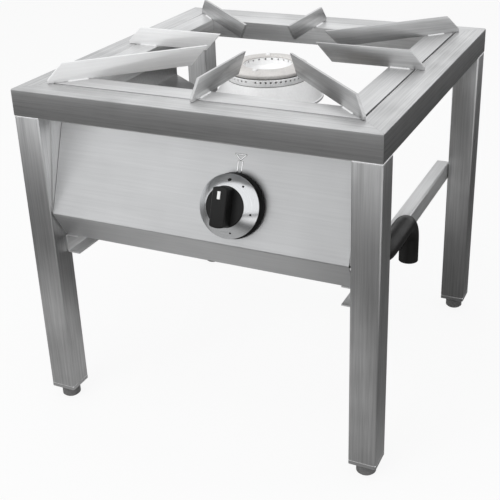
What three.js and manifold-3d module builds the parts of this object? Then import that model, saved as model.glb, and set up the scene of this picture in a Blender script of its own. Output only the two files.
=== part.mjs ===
// A one-burner stock pot range: a low square-tube stand with a lift-off pan support,
// a cast ring burner, and one gas tap behind a leaning control panel.
// Millimetres. +X is right, +Y is back, +Z is up, and the floor is at z = 0.
import * as THREE from "three";
import { mergeVertices } from "three/addons/utils/BufferGeometryUtils.js";
import Module from "manifold-3d";

const wasm = await Module();
wasm.setup();

// ---------------------------------------------------------------- driving dimensions

// Clearances.
const SEAM = 0.1; // between two welded pieces
const REST_GAP = 0.2; // between pieces that rest on each other and come apart
const FIT_GAP = 0.3; // all round a shaft, spigot or pipe in its hole
const OVERCUT = 1; // how far a cutting tool reaches past what it cuts

// Stand: mitred top frame, four legs, end plates and screw-in feet.
const FRAME_WIDTH = 400;
const FRAME_DEPTH = 400;
const TUBE_SIDE = 30;
const TUBE_WALL = 1.5;
const TUBE_CORNER = 1.8;
const TUBE_BORE_CORNER = 0.3;
const LEG_LENGTH = 330.6;
const END_PLATE = 4;
const FOOT_DIAMETER = 21;
const FOOT_HEIGHT = 15;
const FOOT_CHAMFER = 1.5;
const FOOT_STEM_DIAMETER = 8;
const FOOT_STEM_LENGTH = 30;
const FOOT_NUT_HEIGHT = 6.5;
const FOOT_NUT_FLATS = 13;

// Pan support: a square ring of angle iron that carries eight flat bars.
const RING_INSET = 1.5; // from the frame tubes to the ring
const RING_FLANGE = 28;
const RING_DROP = 22;
const RING_THICKNESS = 3;
const ARM_HEIGHT = 20;
const ARM_THICKNESS = 3;
const ARM_TOE = 3.5; // height left at the outer end of an arm
const ARM_UNDERCUT = 19; // how far the inner end leans over the burner
const CORNER_ARM_INSET = 27; // outer end, in from both faces of the frame
const CORNER_ARM_TIP = 70; // radius of the inner end
const SIDE_ARM_INSET = 20;
const SIDE_ARM_TIP = 58;

// Control panel: one bent sheet between two cheeks.
const SHEET = 1.5;
const NOSE_SETBACK = 2; // from the front of the frame to the panel's lowest front edge
const NOSE_DROP = 108; // from the underside of the frame down to that edge
const PANEL_TILT = THREE.MathUtils.degToRad(20);
const PANEL_TOP_FLANGE = 32;
const LIP_RUN = 19;
const LIP_DROP = 32;
const LIP_RETURN = 8;
const CHEEK_TOP_SETBACK = 21;
const CHEEK_MARGIN = 8; // how far a cheek reaches behind the panel

// Rails: two channels low between the legs.
const RAIL_WIDTH = 16;
const RAIL_HEIGHT = 22;

// Knob and gas tap, along the tap's axis from the face of the panel.
const TAP_X = 45;
const TAP_UP = 41; // up the panel from its nose
const TAP_SETBACK = 34; // from the panel back to the tap's ports
const TAP_RADIUS = 13;
const TAP_LENGTH = 50;
const NECK_RADIUS = 8;
const NECK_REACH = 5;
const NUT_FLATS = 22;
const NUT_HEIGHT = 4;
const PLUG_RADIUS = 7.7;
const PLUG_LENGTH = 33.4;
const PLUG_FRONT = 14.3; // from the panel back to the plug
const END_CAP_HEAD = 6;
const INLET_REACH = 21; // from the tap's axis down to the end of the inlet
const OUTLET_REACH = 22; // from the tap's axis sideways to the end of the outlet
const SPINDLE_RADIUS = 3;
const SPINDLE_FLAT = 2; // from the spindle's axis to its flat
const SPINDLE_IN = 28; // behind the panel
const SPINDLE_END_GAP = 0.8; // to the end of the knob's socket wall
const KNOB_LIFT = 3.5; // from the panel to the knob, which is also its room to be pushed
const SKIRT_RADIUS = 33;
const SKIRT_SHOULDER_RADIUS = 31.9;
const SKIRT_HEIGHT = 10.7;
const SKIRT_WALL = 2;
const BEZEL_INNER_RADIUS = 20.3;
const BEZEL_RISE = 9.8;
const BEZEL_THICKNESS = 0.7;
const HUB_RADIUS = 7;
const HUB_BASE = 9; // from the panel
const GRIP_SEAT = 2; // depth of the recess that holds the grip
const GRIP_DISC = 2.9;
const GRIP_WIDTH = 15.4;
const GRIP_HEIGHT = 14.8;
const GRIP_CROWN = 3;
const INDEX_WIDTH = 3;
const INDEX_LENGTH = 7.5;
const INDEX_THICKNESS = 0.6;
const INDEX_UP = 8; // from the knob's axis to the lower end of the index

// Gas supply pipe.
const PIPE_DIAMETER = 21.3;
const PIPE_WALL = 2.6;
const PIPE_RAIL_GAP = 7; // over the rail, where the saddle is
const PIPE_SIDE_GAP = 0.35; // outside the rail
const PIPE_REAR_RUN = 113;
const PIPE_TAIL = 51;
const TAP_BEND = 18;
const CORNER_BEND = 34;
const DROP_BEND = 39;
const SADDLE_LENGTH = 12;
const SADDLE_WIDTH = 8; // out from the rail
const SADDLE_DROP = 14; // below the top of the rail
const SADDLE_TOP = 6; // below the pipe's axis

// Injector line under the burner.
const MIXER_RADIUS = 15;
const MIXER_WALL = 2;
const MIXER_BEND = 28;
const MIXER_REACH = 88; // forward of the burner's axis
const SHUTTER_OVERLAP = 8;
const SHUTTER_AIR_GAP = 14; // between the mixer's mouth and the shutter's end wall
const SHUTTER_WALL = 1.5;
const SHUTTER_END = 2;
const SHUTTER_WINDOW = 14;
const INJECTOR_RADIUS = 5;
const INJECTOR_SHANK = 8;
const INJECTOR_HEAD_FLATS = 15;
const INJECTOR_HEAD = 8;
const INJECTOR_BORE = 1;
const FEED_RADIUS = 4;
const FEED_WALL = 1;
const FEED_BEND = 18;

// Burner, from the support plate up.
const SUPPORT_DEPTH = 60; // from the top of the frame to the plate
const SUPPORT_SHEET = 2;
const SUPPORT_LENGTH = 170; // front to back at the side tubes
const SUPPORT_FLANGE_DROP = 8; // from the top of the frame to the flanges
const SUPPORT_WAIST = 20; // front to back beside the burner
const SUPPORT_TAPER = 97; // from the side tube to the waist
const SUPPORT_EYE_RADIUS = 45;
const SPIGOT_RADIUS = 12.7;
const SPIGOT_WALL = 2.7;
const SPIGOT_LENGTH = 20;
const NECK_OF_BURNER_RADIUS = 24;
const NECK_OF_BURNER_HEIGHT = 12.8;
const CONE_RIM_HEIGHT = 3;
const CONE_RIM_RADIUS = 62.5;
const CONE_BASE_RADIUS = 61;
const CONE_TOP_RADIUS = 48;
const CONE_HEIGHT = 21;
const CONE_WALL = 4.3;
const CONE_FLOOR = 5;
const CROWN_RADIUS = 47;
const CROWN_BORE_RADIUS = 28.5;
const CROWN_HEIGHT = 8;
const CROWN_WALL = 3;
const CROWN_SPIGOT = 3.6;
const CROWN_FLOOR = 2;
const THROAT_DEPTH = 8; // from the top of the inner wall down to the dish
const DISH_DEPTH = 4;
const DISH_RADIUS = 22;
const GAS_WAY_RADIUS = 3.5;
const GAS_WAYS = 6;
const PORT_RADIUS = 1.1;
const OUTER_PORTS = 52; // places, of which the front one has no port
const INNER_PORTS = 24;
const INNER_PORT_DROP = 1.8; // from the top of the inner wall to a port's axis
const CAP_RADIUS = 45.5;
const CAP_HOLE_RADIUS = 28;
const CAP_HEIGHT = 7;
const CAP_SKIN = 2; // thickness over the crown's inner wall
const CAP_EDGE = 4;
const CAP_SLOPE = 6;
const CAP_RIM = 4; // width of the rim that rests on the crown's outer wall
const CAP_SPIGOT = 1.2; // how far the rim reaches down inside that wall
const LUG_WIDTH = 5;
const LUG_HEIGHT = 1.6;
const LUG_LENGTH = 8;
const REAR_LUG_TURN = THREE.MathUtils.degToRad(24); // anticlockwise from straight back

// ---------------------------------------------------------------- levels and places

const frontFace = -FRAME_DEPTH / 2;
const rightFace = FRAME_WIDTH / 2;
const endPlateBottom = FOOT_HEIGHT + REST_GAP;
const endPlateTop = endPlateBottom + END_PLATE;
const legBottom = endPlateTop + SEAM;
const frameBottom = legBottom + LEG_LENGTH + SEAM;
const frameTop = frameBottom + TUBE_SIDE;
const insideLegs = rightFace - TUBE_SIDE;

const armBottom = frameTop + REST_GAP;
const ringTop = armBottom - SEAM;
const ringOuterInset = TUBE_SIDE + RING_INSET;

const noseY = frontFace + NOSE_SETBACK;
const noseZ = frameBottom - NOSE_DROP;
const lipBackY = noseY + LIP_RUN;
const lipBottom = noseZ - LIP_DROP;
const railTop = lipBottom - SEAM;
const railWebX = insideLegs - SEAM;

// The tap's axis points forward and up, square to the panel.
const axisTurn = Math.PI / 2 - PANEL_TILT;
const tapOrigin = new THREE.Vector3(
  TAP_X,
  noseY + TAP_UP * Math.sin(PANEL_TILT),
  noseZ + TAP_UP * Math.cos(PANEL_TILT),
);
const tapAxis = new THREE.Vector3(0, -Math.cos(PANEL_TILT), Math.sin(PANEL_TILT));
const tapCentre = tapOrigin.clone().addScaledVector(tapAxis, -TAP_SETBACK);

const supportTop = frameTop - SUPPORT_DEPTH;
const burnerSeat = supportTop + REST_GAP;
const spigotBottom = burnerSeat - SPIGOT_LENGTH;
const coneRimBottom = burnerSeat + NECK_OF_BURNER_HEIGHT;
const coneBottom = coneRimBottom + CONE_RIM_HEIGHT;
const coneTop = coneBottom + CONE_HEIGHT;
const crownSeat = coneTop + REST_GAP;
const crownTop = crownSeat + CROWN_HEIGHT;
const capBottom = crownTop + REST_GAP;
const capTop = capBottom + CAP_HEIGHT;
const innerWallTop = capTop - CAP_SKIN - REST_GAP;
const dishEdge = innerWallTop - THROAT_DEPTH;

// ---------------------------------------------------------------- materials

const finish = (color, roughness, metalness) =>
  new THREE.MeshStandardMaterial({ color, roughness, metalness });
const brushedSteel = () => finish(0xb9b7b3, 0.4, 1);
const castAluminium = () => finish(0xcfcac4, 0.55, 0.9);
const brass = () => finish(0xb8914a, 0.4, 1);
const blackSteel = () => finish(0x1a1817, 0.5, 0.6);
const blackPlastic = () => finish(0x1c1c1d, 0.45, 0);
const chrome = () => finish(0xe6e8ea, 0.2, 1);
const greyRubber = () => finish(0x6a6a68, 0.7, 0);
const whitePaint = () => finish(0xf2f2f0, 0.6, 0);

// ---------------------------------------------------------------- shaping helpers

const range = new THREE.Group();

function add(name, geometry, material, parent = range) {
  const mesh = new THREE.Mesh(geometry, material);
  mesh.name = name;
  parent.add(mesh);
  return mesh;
}

// The geometry as a solid that can be joined and cut.
function solid(geometry) {
  const bare = geometry.clone();
  bare.deleteAttribute("normal");
  bare.deleteAttribute("uv");
  const merged = mergeVertices(bare, 1e-4);
  return new wasm.Manifold(
    new wasm.Mesh({
      numProp: 3,
      vertProperties: merged.getAttribute("position").array,
      triVerts: new Uint32Array(merged.index.array),
    }),
  );
}

function geometryOf(made) {
  const { vertProperties, triVerts } = made.getMesh();
  const geometry = new THREE.BufferGeometry();
  geometry.setAttribute("position", new THREE.BufferAttribute(vertProperties, 3));
  geometry.setIndex(new THREE.BufferAttribute(triVerts, 1));
  const flat = geometry.toNonIndexed();
  flat.computeVertexNormals();
  return flat;
}

function cut(geometry, ...tools) {
  return geometryOf(tools.reduce((left, tool) => left.subtract(solid(tool)), solid(geometry)));
}

function join(first, ...others) {
  return geometryOf(others.reduce((all, one) => all.add(solid(one)), solid(first)));
}

// A turned piece about Z from [radius, height] points that start and end on the axis.
function turned(profile, segments = 48) {
  const points = profile.map(([radius, height]) => new THREE.Vector2(radius, height));
  return new THREE.LatheGeometry(points, segments).rotateX(Math.PI / 2);
}

// A turned ring: the profile runs up its outer side and closes on itself.
function turnedRing(profile, segments = 48) {
  return turned([...profile, profile[0]], segments);
}

// A round bar on the Z axis.
function roundBar(radius, from, to, segments = 24) {
  return new THREE.CylinderGeometry(radius, radius, to - from, segments)
    .rotateX(Math.PI / 2)
    .translate(0, 0, (from + to) / 2);
}

// A six-sided bar on the Z axis, measured across its flats.
function hexBar(flats, from, to) {
  return roundBar(flats / Math.sqrt(3), from, to, 6);
}

function block(width, depth, height, x, y, z) {
  return new THREE.BoxGeometry(width, depth, height).translate(x, y, z);
}

function outline(points) {
  return new THREE.Shape(points.map(([x, y]) => new THREE.Vector2(x, y)));
}

function extrude(shape, depth, curveSegments = 2) {
  return new THREE.ExtrudeGeometry(shape, { depth, bevelEnabled: false, curveSegments });
}

// A section drawn in (y, z), extruded along X.
function alongX(section, from, to) {
  const turn = new THREE.Matrix4().set(0, 0, 1, 0, 1, 0, 0, 0, 0, 1, 0, 0, 0, 0, 0, 1);
  return extrude(section, to - from).applyMatrix4(turn).translate(from, 0, 0);
}

// A section drawn in (x, z), extruded along Y.
function alongY(section, from, to) {
  return extrude(section, to - from).rotateX(Math.PI / 2).translate(0, to, 0);
}

// A square with rounded corners whose lower left corner is at (start, start).
function roundedSquare(start, side, corner) {
  const end = start + side;
  const shape = new THREE.Shape();
  shape.moveTo(start + corner, start);
  shape.absarc(end - corner, start + corner, corner, -Math.PI / 2, 0, false);
  shape.absarc(end - corner, end - corner, corner, 0, Math.PI / 2, false);
  shape.absarc(start + corner, end - corner, corner, Math.PI / 2, Math.PI, false);
  shape.absarc(start + corner, start + corner, corner, Math.PI, Math.PI * 1.5, false);
  return shape;
}

// The section of the square tube that the frame and the legs are cut from.
function tubeSection() {
  const section = roundedSquare(0, TUBE_SIDE, TUBE_CORNER);
  section.holes.push(roundedSquare(TUBE_WALL, TUBE_SIDE - 2 * TUBE_WALL, TUBE_BORE_CORNER));
  return section;
}

// The section of a bent sheet, whose material lies to the left of the line.
function sheetSection(line, thickness) {
  const at = line.map(([x, y]) => new THREE.Vector2(x, y));
  const sides = at.slice(1).map((point, i) => {
    const run = point.clone().sub(at[i]).normalize();
    return new THREE.Vector2(-run.y, run.x);
  });
  const back = at.map((point, i) => {
    const before = sides[Math.max(i - 1, 0)];
    const after = sides[Math.min(i, sides.length - 1)];
    const mitre = before.clone().add(after).divideScalar(1 + before.dot(after));
    return point.clone().addScaledVector(mitre, thickness);
  });
  return new THREE.Shape([...at, ...back.reverse()]);
}

// A bar with both ends cut at 45 degrees. The section's x runs inwards from the frame's
// outer face and its y runs up; halfLength is measured at the outer face.
function mitredBar(section, halfLength) {
  const bar = extrude(section, 1);
  const at = bar.getAttribute("position");
  for (let i = 0; i < at.count; i++) {
    const inward = at.getX(i);
    const up = at.getY(i);
    const end = at.getZ(i) > 0.5 ? 1 : -1;
    at.setXYZ(i, end * (halfLength - inward - SEAM), inward, up);
  }
  bar.computeVertexNormals();
  return bar;
}

// Four mitred bars in a rectangle, each drawn in the same section.
function mitredFrame(names, section, halfWidth, halfDepth, bottom, material) {
  const sides = [
    { name: names.front, turn: 0, half: halfWidth, x: 0, y: -halfDepth },
    { name: names.right, turn: Math.PI / 2, half: halfDepth, x: halfWidth, y: 0 },
    { name: names.back, turn: Math.PI, half: halfWidth, x: 0, y: halfDepth },
    { name: names.left, turn: -Math.PI / 2, half: halfDepth, x: -halfWidth, y: 0 },
  ];
  for (const side of sides) {
    const bar = add(side.name, mitredBar(section, side.half), material());
    bar.rotation.z = side.turn;
    bar.position.set(side.x, side.y, bottom);
  }
}

// The centre line of a bent pipe: straight runs between corners, with one bend radius
// at each inner corner. It is stepped in the bends only.
class BentLine extends THREE.Curve {
  constructor(corners, radii, stepsPerBend = 6) {
    super();
    this.points = [corners[0]];
    this.runs = [corners[1].clone().sub(corners[0]).normalize()];
    for (let i = 1; i < corners.length - 1; i++) {
      const into = corners[i].clone().sub(corners[i - 1]).normalize();
      const out = corners[i + 1].clone().sub(corners[i]).normalize();
      const start = corners[i].clone().addScaledVector(into, -radii[i - 1]);
      const centre = start.clone().addScaledVector(out, radii[i - 1]);
      for (let step = 0; step <= stepsPerBend; step++) {
        const angle = ((Math.PI / 2) * step) / stepsPerBend;
        const run = into.clone().multiplyScalar(Math.cos(angle));
        run.addScaledVector(out, Math.sin(angle));
        const point = centre.clone().addScaledVector(out, -radii[i - 1] * Math.cos(angle));
        point.addScaledVector(into, radii[i - 1] * Math.sin(angle));
        this.points.push(point);
        this.runs.push(run);
      }
    }
    this.points.push(corners.at(-1));
    this.runs.push(corners.at(-1).clone().sub(corners.at(-2)).normalize());
    this.steps = this.points.length - 1;
  }

  getUtoTmapping(u) {
    return u;
  }

  getPoint(t, target = new THREE.Vector3()) {
    return target.copy(this.points[Math.round(t * this.steps)]);
  }

  getTangent(t, target = new THREE.Vector3()) {
    return target.copy(this.runs[Math.round(t * this.steps)]);
  }
}

// A pipe along a centre line.
function pipe(line, radius, wall, sides) {
  const section = new THREE.Shape().absarc(0, 0, radius, 0, 2 * Math.PI, false);
  section.holes.push(new THREE.Path().absarc(0, 0, radius - wall, 0, 2 * Math.PI, true));
  return new THREE.ExtrudeGeometry(section, {
    steps: line.steps,
    extrudePath: line,
    curveSegments: sides / 2,
  });
}

// ---------------------------------------------------------------- stand

const corners = [
  { name: "front_left", x: -1, y: -1 },
  { name: "front_right", x: 1, y: -1 },
  { name: "rear_right", x: 1, y: 1 },
  { name: "rear_left", x: -1, y: 1 },
];

function addStand() {
  const names = {
    front: "frame_front",
    right: "frame_right",
    back: "frame_back",
    left: "frame_left",
  };
  mitredFrame(names, tubeSection(), rightFace, -frontFace, frameBottom, brushedSteel);
  for (const corner of corners) {
    const x = corner.x * (rightFace - TUBE_SIDE / 2);
    const y = corner.y * (-frontFace - TUBE_SIDE / 2);
    addLeg(corner.name, x, y);
  }
}

function addLeg(corner, x, y) {
  const leg = extrude(tubeSection(), LEG_LENGTH).translate(-TUBE_SIDE / 2, -TUBE_SIDE / 2, 0);
  add("leg_" + corner, leg, brushedSteel()).position.set(x, y, legBottom);

  const plate = extrude(roundedSquare(-TUBE_SIDE / 2, TUBE_SIDE, TUBE_CORNER), END_PLATE);
  const nutTop = END_PLATE + FOOT_NUT_HEIGHT;
  const nut = hexBar(FOOT_NUT_FLATS, 0, nutTop);
  const thread = roundBar(FOOT_STEM_DIAMETER / 2 + FIT_GAP, -OVERCUT, nutTop + OVERCUT, 16);
  const endPlate = cut(join(plate, nut), thread);
  add("leg_end_plate_" + corner, endPlate, brushedSteel()).position.set(x, y, endPlateBottom);

  const pad = FOOT_DIAMETER / 2;
  const stem = FOOT_STEM_DIAMETER / 2;
  const foot = turned(
    [
      [0, 0],
      [pad - FOOT_CHAMFER, 0],
      [pad, FOOT_CHAMFER],
      [pad, FOOT_HEIGHT],
      [stem, FOOT_HEIGHT],
      [stem, FOOT_HEIGHT + FOOT_STEM_LENGTH],
      [0, FOOT_HEIGHT + FOOT_STEM_LENGTH],
    ],
    20,
  );
  add("foot_" + corner, foot, greyRubber()).position.set(x, y, 0);
}

// ---------------------------------------------------------------- rails

function addRails() {
  const inner = railWebX - RAIL_WIDTH;
  const bottom = railTop - RAIL_HEIGHT;
  const left = [
    [-inner, railTop],
    [-railWebX, railTop],
    [-railWebX, bottom],
    [-inner, bottom],
  ];
  const right = left.map(([x, z]) => [-x, z]).reverse();
  add("rail_left", alongY(sheetSection(left, SHEET), lipBackY, -lipBackY), brushedSteel());
  add("rail_right", alongY(sheetSection(right, SHEET), lipBackY, -lipBackY), brushedSteel());
}

// ---------------------------------------------------------------- control panel

// A point of the panel's face at a height z.
const panelY = (z) => noseY + (z - noseZ) * Math.tan(PANEL_TILT);

function addPanel() {
  const flangeUnderside = frameBottom - SEAM - SHEET;
  const flangeBack = panelY(flangeUnderside);
  const line = [
    [flangeBack - PANEL_TOP_FLANGE, flangeUnderside],
    [flangeBack, flangeUnderside],
    [noseY, noseZ],
    [lipBackY, lipBottom],
    [lipBackY + LIP_RETURN, lipBottom],
  ];
  const half = insideLegs - SEAM - SHEET - FIT_GAP;
  const panel = alongX(sheetSection(line, SHEET), -half, half);
  const hole = roundBar(NECK_RADIUS + FIT_GAP, -SHEET - OVERCUT, OVERCUT)
    .rotateX(axisTurn)
    .translate(...tapOrigin);
  add("control_panel", cut(panel, hole), brushedSteel());
}

function addCheeks() {
  const top = frameBottom - SEAM;
  const shape = outline([
    [noseY + SHEET, noseZ + SHEET],
    [noseY + CHEEK_MARGIN, noseZ + SHEET],
    [panelY(top) + CHEEK_MARGIN, top],
    [frontFace + CHEEK_TOP_SETBACK, top],
  ]);
  const inner = insideLegs - SEAM - SHEET;
  add("cheek_left", alongX(shape, -inner - SHEET, -inner), brushedSteel());
  add("cheek_right", alongX(shape, inner, inner + SHEET), brushedSteel());
}

// ---------------------------------------------------------------- pan support

function addPanSupport() {
  const names = { front: "ring_front", right: "ring_right", back: "ring_back", left: "ring_left" };
  const section = outline([
    [0, -RING_THICKNESS],
    [RING_FLANGE - RING_THICKNESS, -RING_THICKNESS],
    [RING_FLANGE - RING_THICKNESS, -RING_DROP],
    [RING_FLANGE, -RING_DROP],
    [RING_FLANGE, 0],
    [0, 0],
  ]);
  const halfWidth = rightFace - ringOuterInset;
  const halfDepth = -frontFace - ringOuterInset;
  mitredFrame(names, section, halfWidth, halfDepth, ringTop, brushedSteel);

  for (const corner of corners) {
    const x = corner.x * (rightFace - CORNER_ARM_INSET);
    const y = corner.y * (-frontFace - CORNER_ARM_INSET);
    addArm("arm_" + corner.name, x, y, CORNER_ARM_TIP);
  }
  addArm("arm_front", 0, frontFace + SIDE_ARM_INSET, SIDE_ARM_TIP);
  addArm("arm_right", rightFace - SIDE_ARM_INSET, 0, SIDE_ARM_TIP);
  addArm("arm_rear", 0, -frontFace - SIDE_ARM_INSET, SIDE_ARM_TIP);
  addArm("arm_left", SIDE_ARM_INSET - rightFace, 0, SIDE_ARM_TIP);
}

// A flat bar on edge that points at the burner. (x, y) is the foot of its outer end.
function addArm(name, x, y, tip) {
  const reach = Math.hypot(x, y);
  const shape = outline([
    [tip + ARM_UNDERCUT, 0],
    [reach, 0],
    [reach, ARM_TOE],
    [reach - (ARM_HEIGHT - ARM_TOE), ARM_HEIGHT],
    [tip, ARM_HEIGHT],
  ]);
  const bar = extrude(shape, ARM_THICKNESS).rotateX(Math.PI / 2).translate(0, ARM_THICKNESS / 2, 0);
  const arm = add(name, bar, brushedSteel());
  arm.rotation.z = Math.atan2(y, x);
  arm.position.z = armBottom;
}

// ---------------------------------------------------------------- burner

function addBurnerSupport() {
  const end = insideLegs - SEAM;
  const waistX = end - SUPPORT_TAPER;
  const half = SUPPORT_LENGTH / 2;
  const waist = SUPPORT_WAIST / 2;
  const bowTie = outline([
    [-end, -half],
    [-waistX, -waist],
    [waistX, -waist],
    [end, -half],
    [end, half],
    [waistX, waist],
    [-waistX, waist],
    [-end, half],
  ]);
  const bottom = supportTop - SUPPORT_SHEET;
  const plate = extrude(bowTie, SUPPORT_SHEET).translate(0, 0, bottom);
  const eye = roundBar(SUPPORT_EYE_RADIUS, bottom, supportTop, 32);
  const height = SUPPORT_DEPTH - SUPPORT_FLANGE_DROP + SUPPORT_SHEET;
  const flange = (side) =>
    block(
      SUPPORT_SHEET,
      SUPPORT_LENGTH,
      height,
      side * (end - SUPPORT_SHEET / 2),
      0,
      bottom + height / 2,
    );
  const hole = roundBar(SPIGOT_RADIUS + FIT_GAP, bottom - OVERCUT, supportTop + OVERCUT);
  add("burner_support", cut(join(plate, eye, flange(-1), flange(1)), hole), brushedSteel());
}

function addBurnerBody() {
  const cupRadius = CROWN_RADIUS - CROWN_WALL - FIT_GAP;
  const cupBottom = coneTop - CROWN_SPIGOT - FIT_GAP - REST_GAP;
  const slope = (CONE_BASE_RADIUS - CONE_TOP_RADIUS) / CONE_HEIGHT;
  const wallAt = (z) => CONE_TOP_RADIUS + (coneTop - z) * slope - CONE_WALL;
  const floor = coneRimBottom + CONE_FLOOR;
  const body = turnedRing([
    [SPIGOT_RADIUS - SPIGOT_WALL, spigotBottom],
    [SPIGOT_RADIUS, spigotBottom],
    [SPIGOT_RADIUS, burnerSeat],
    [NECK_OF_BURNER_RADIUS, burnerSeat],
    [NECK_OF_BURNER_RADIUS, coneRimBottom],
    [CONE_RIM_RADIUS, coneRimBottom],
    [CONE_RIM_RADIUS, coneBottom],
    [CONE_BASE_RADIUS, coneBottom],
    [CONE_TOP_RADIUS, coneTop],
    [cupRadius + FIT_GAP, coneTop],
    [cupRadius + FIT_GAP, cupBottom],
    [wallAt(cupBottom), cupBottom],
    [wallAt(floor), floor],
    [SPIGOT_RADIUS - SPIGOT_WALL, floor],
  ]);
  add("burner_body", body, castAluminium());
}

// Round holes from the burner's axis outwards, evenly spaced from its front.
function radialHoles(places, first, from, to, height) {
  const holes = [];
  for (let i = first; i < places; i++) {
    const hole = roundBar(PORT_RADIUS, from, to, 4).rotateY(Math.PI / 2);
    holes.push(hole.rotateZ((2 * Math.PI * i) / places - Math.PI / 2).translate(0, 0, height));
  }
  return holes;
}

function addBurnerCrown() {
  const spigotBase = crownSeat - CROWN_SPIGOT;
  const spigot = CROWN_RADIUS - CROWN_WALL - FIT_GAP;
  const channelFloor = crownSeat + CROWN_FLOOR;
  const dishUnderside = dishEdge - DISH_DEPTH - CROWN_FLOOR;
  const blank = turned([
    [0, dishUnderside],
    [DISH_RADIUS, dishUnderside],
    [CROWN_BORE_RADIUS, spigotBase],
    [spigot, spigotBase],
    [spigot, crownSeat],
    [CROWN_RADIUS, crownSeat],
    [CROWN_RADIUS, crownTop],
    [CROWN_RADIUS - CROWN_WALL, crownTop],
    [CROWN_RADIUS - CROWN_WALL, channelFloor],
    [CROWN_BORE_RADIUS + CROWN_WALL, channelFloor],
    [CROWN_BORE_RADIUS + CROWN_WALL, innerWallTop],
    [CROWN_BORE_RADIUS, innerWallTop],
    [CROWN_BORE_RADIUS, dishEdge],
    [DISH_RADIUS, dishEdge - DISH_DEPTH],
    [0, dishUnderside + CROWN_FLOOR / 2],
  ]);
  const outer = radialHoles(
    OUTER_PORTS,
    1,
    CROWN_RADIUS - CROWN_WALL - OVERCUT,
    CROWN_RADIUS + OVERCUT,
    (channelFloor + crownTop) / 2,
  );
  const inner = radialHoles(
    INNER_PORTS,
    0,
    CROWN_BORE_RADIUS - OVERCUT,
    CROWN_BORE_RADIUS + CROWN_WALL + OVERCUT,
    innerWallTop - INNER_PORT_DROP,
  );
  const gasWays = [];
  for (let i = 0; i < GAS_WAYS; i++) {
    const way = roundBar(GAS_WAY_RADIUS, spigotBase - OVERCUT, channelFloor + OVERCUT, 12);
    const radius = (CROWN_RADIUS + CROWN_BORE_RADIUS) / 2;
    gasWays.push(way.translate(radius, 0, 0).rotateZ((2 * Math.PI * i) / GAS_WAYS));
  }
  add("burner_crown", cut(blank, ...outer, ...inner, ...gasWays), castAluminium());
}

function addBurnerCap() {
  const spigot = CROWN_RADIUS - CROWN_WALL - FIT_GAP;
  const ring = turnedRing([
    [CAP_HOLE_RADIUS, capTop - CAP_SKIN],
    [CAP_RADIUS - CAP_SLOPE - CAP_SKIN, capTop - CAP_SKIN],
    [CAP_RADIUS - CAP_RIM, capBottom],
    [CAP_RADIUS - CAP_RIM, capBottom - CAP_SPIGOT],
    [spigot, capBottom - CAP_SPIGOT],
    [spigot, capBottom],
    [CAP_RADIUS, capBottom],
    [CAP_RADIUS, capBottom + CAP_EDGE],
    [CAP_RADIUS - CAP_SLOPE, capTop],
    [CAP_HOLE_RADIUS, capTop],
  ]);
  const middle = (CAP_HOLE_RADIUS + CAP_RADIUS - CAP_SLOPE) / 2;
  const lug = (turn) =>
    block(LUG_WIDTH, LUG_LENGTH, LUG_HEIGHT * 2, 0, middle, capTop).rotateZ(turn);
  add("burner_cap", join(ring, lug(REAR_LUG_TURN), lug(Math.PI)), castAluminium());
}

// ---------------------------------------------------------------- knob and gas tap

const tap = new THREE.Group();
tap.position.copy(tapOrigin);
tap.rotation.x = axisTurn;
range.add(tap);

// A shaft's D section, widened all round by a gap.
function spindleSection(gap) {
  const radius = SPINDLE_RADIUS + gap;
  const half = Math.acos((SPINDLE_FLAT + gap) / radius);
  return new THREE.Shape().absarc(0, 0, radius, Math.PI / 2 + half, Math.PI * 2.5 - half, false);
}

function spindleBar(gap, from, to) {
  return extrude(spindleSection(gap), to - from, 8).translate(0, 0, from);
}

const skirtShoulder = KNOB_LIFT + SKIRT_HEIGHT;
const knobTop = skirtShoulder + BEZEL_RISE;
const gripSeat = knobTop - GRIP_SEAT;
const spindleTop = gripSeat - SKIRT_WALL - SPINDLE_END_GAP;

function addKnob() {
  const inside = gripSeat - SKIRT_WALL;
  const skirt = turned(
    [
      [0, HUB_BASE],
      [HUB_RADIUS, HUB_BASE],
      [HUB_RADIUS, inside],
      [BEZEL_INNER_RADIUS, inside],
      [SKIRT_SHOULDER_RADIUS - SKIRT_WALL, skirtShoulder - SKIRT_WALL / 2],
      [SKIRT_RADIUS - SKIRT_WALL, KNOB_LIFT],
      [SKIRT_RADIUS, KNOB_LIFT],
      [SKIRT_SHOULDER_RADIUS, skirtShoulder],
      [BEZEL_INNER_RADIUS, knobTop],
      [BEZEL_INNER_RADIUS, gripSeat],
      [0, gripSeat],
    ],
    56,
  );
  const socket = spindleBar(FIT_GAP, HUB_BASE - OVERCUT, spindleTop + FIT_GAP);
  add("knob_skirt", cut(skirt, socket), blackPlastic(), tap);

  const lift = FIT_GAP;
  const bezel = turnedRing(
    [
      [BEZEL_INNER_RADIUS, knobTop + lift],
      [SKIRT_SHOULDER_RADIUS, skirtShoulder + lift],
      [SKIRT_SHOULDER_RADIUS, skirtShoulder + lift + BEZEL_THICKNESS],
      [BEZEL_INNER_RADIUS, knobTop + lift + BEZEL_THICKNESS],
    ],
    56,
  );
  add("knob_bezel", bezel, chrome(), tap);

  addGrip();
}

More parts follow.
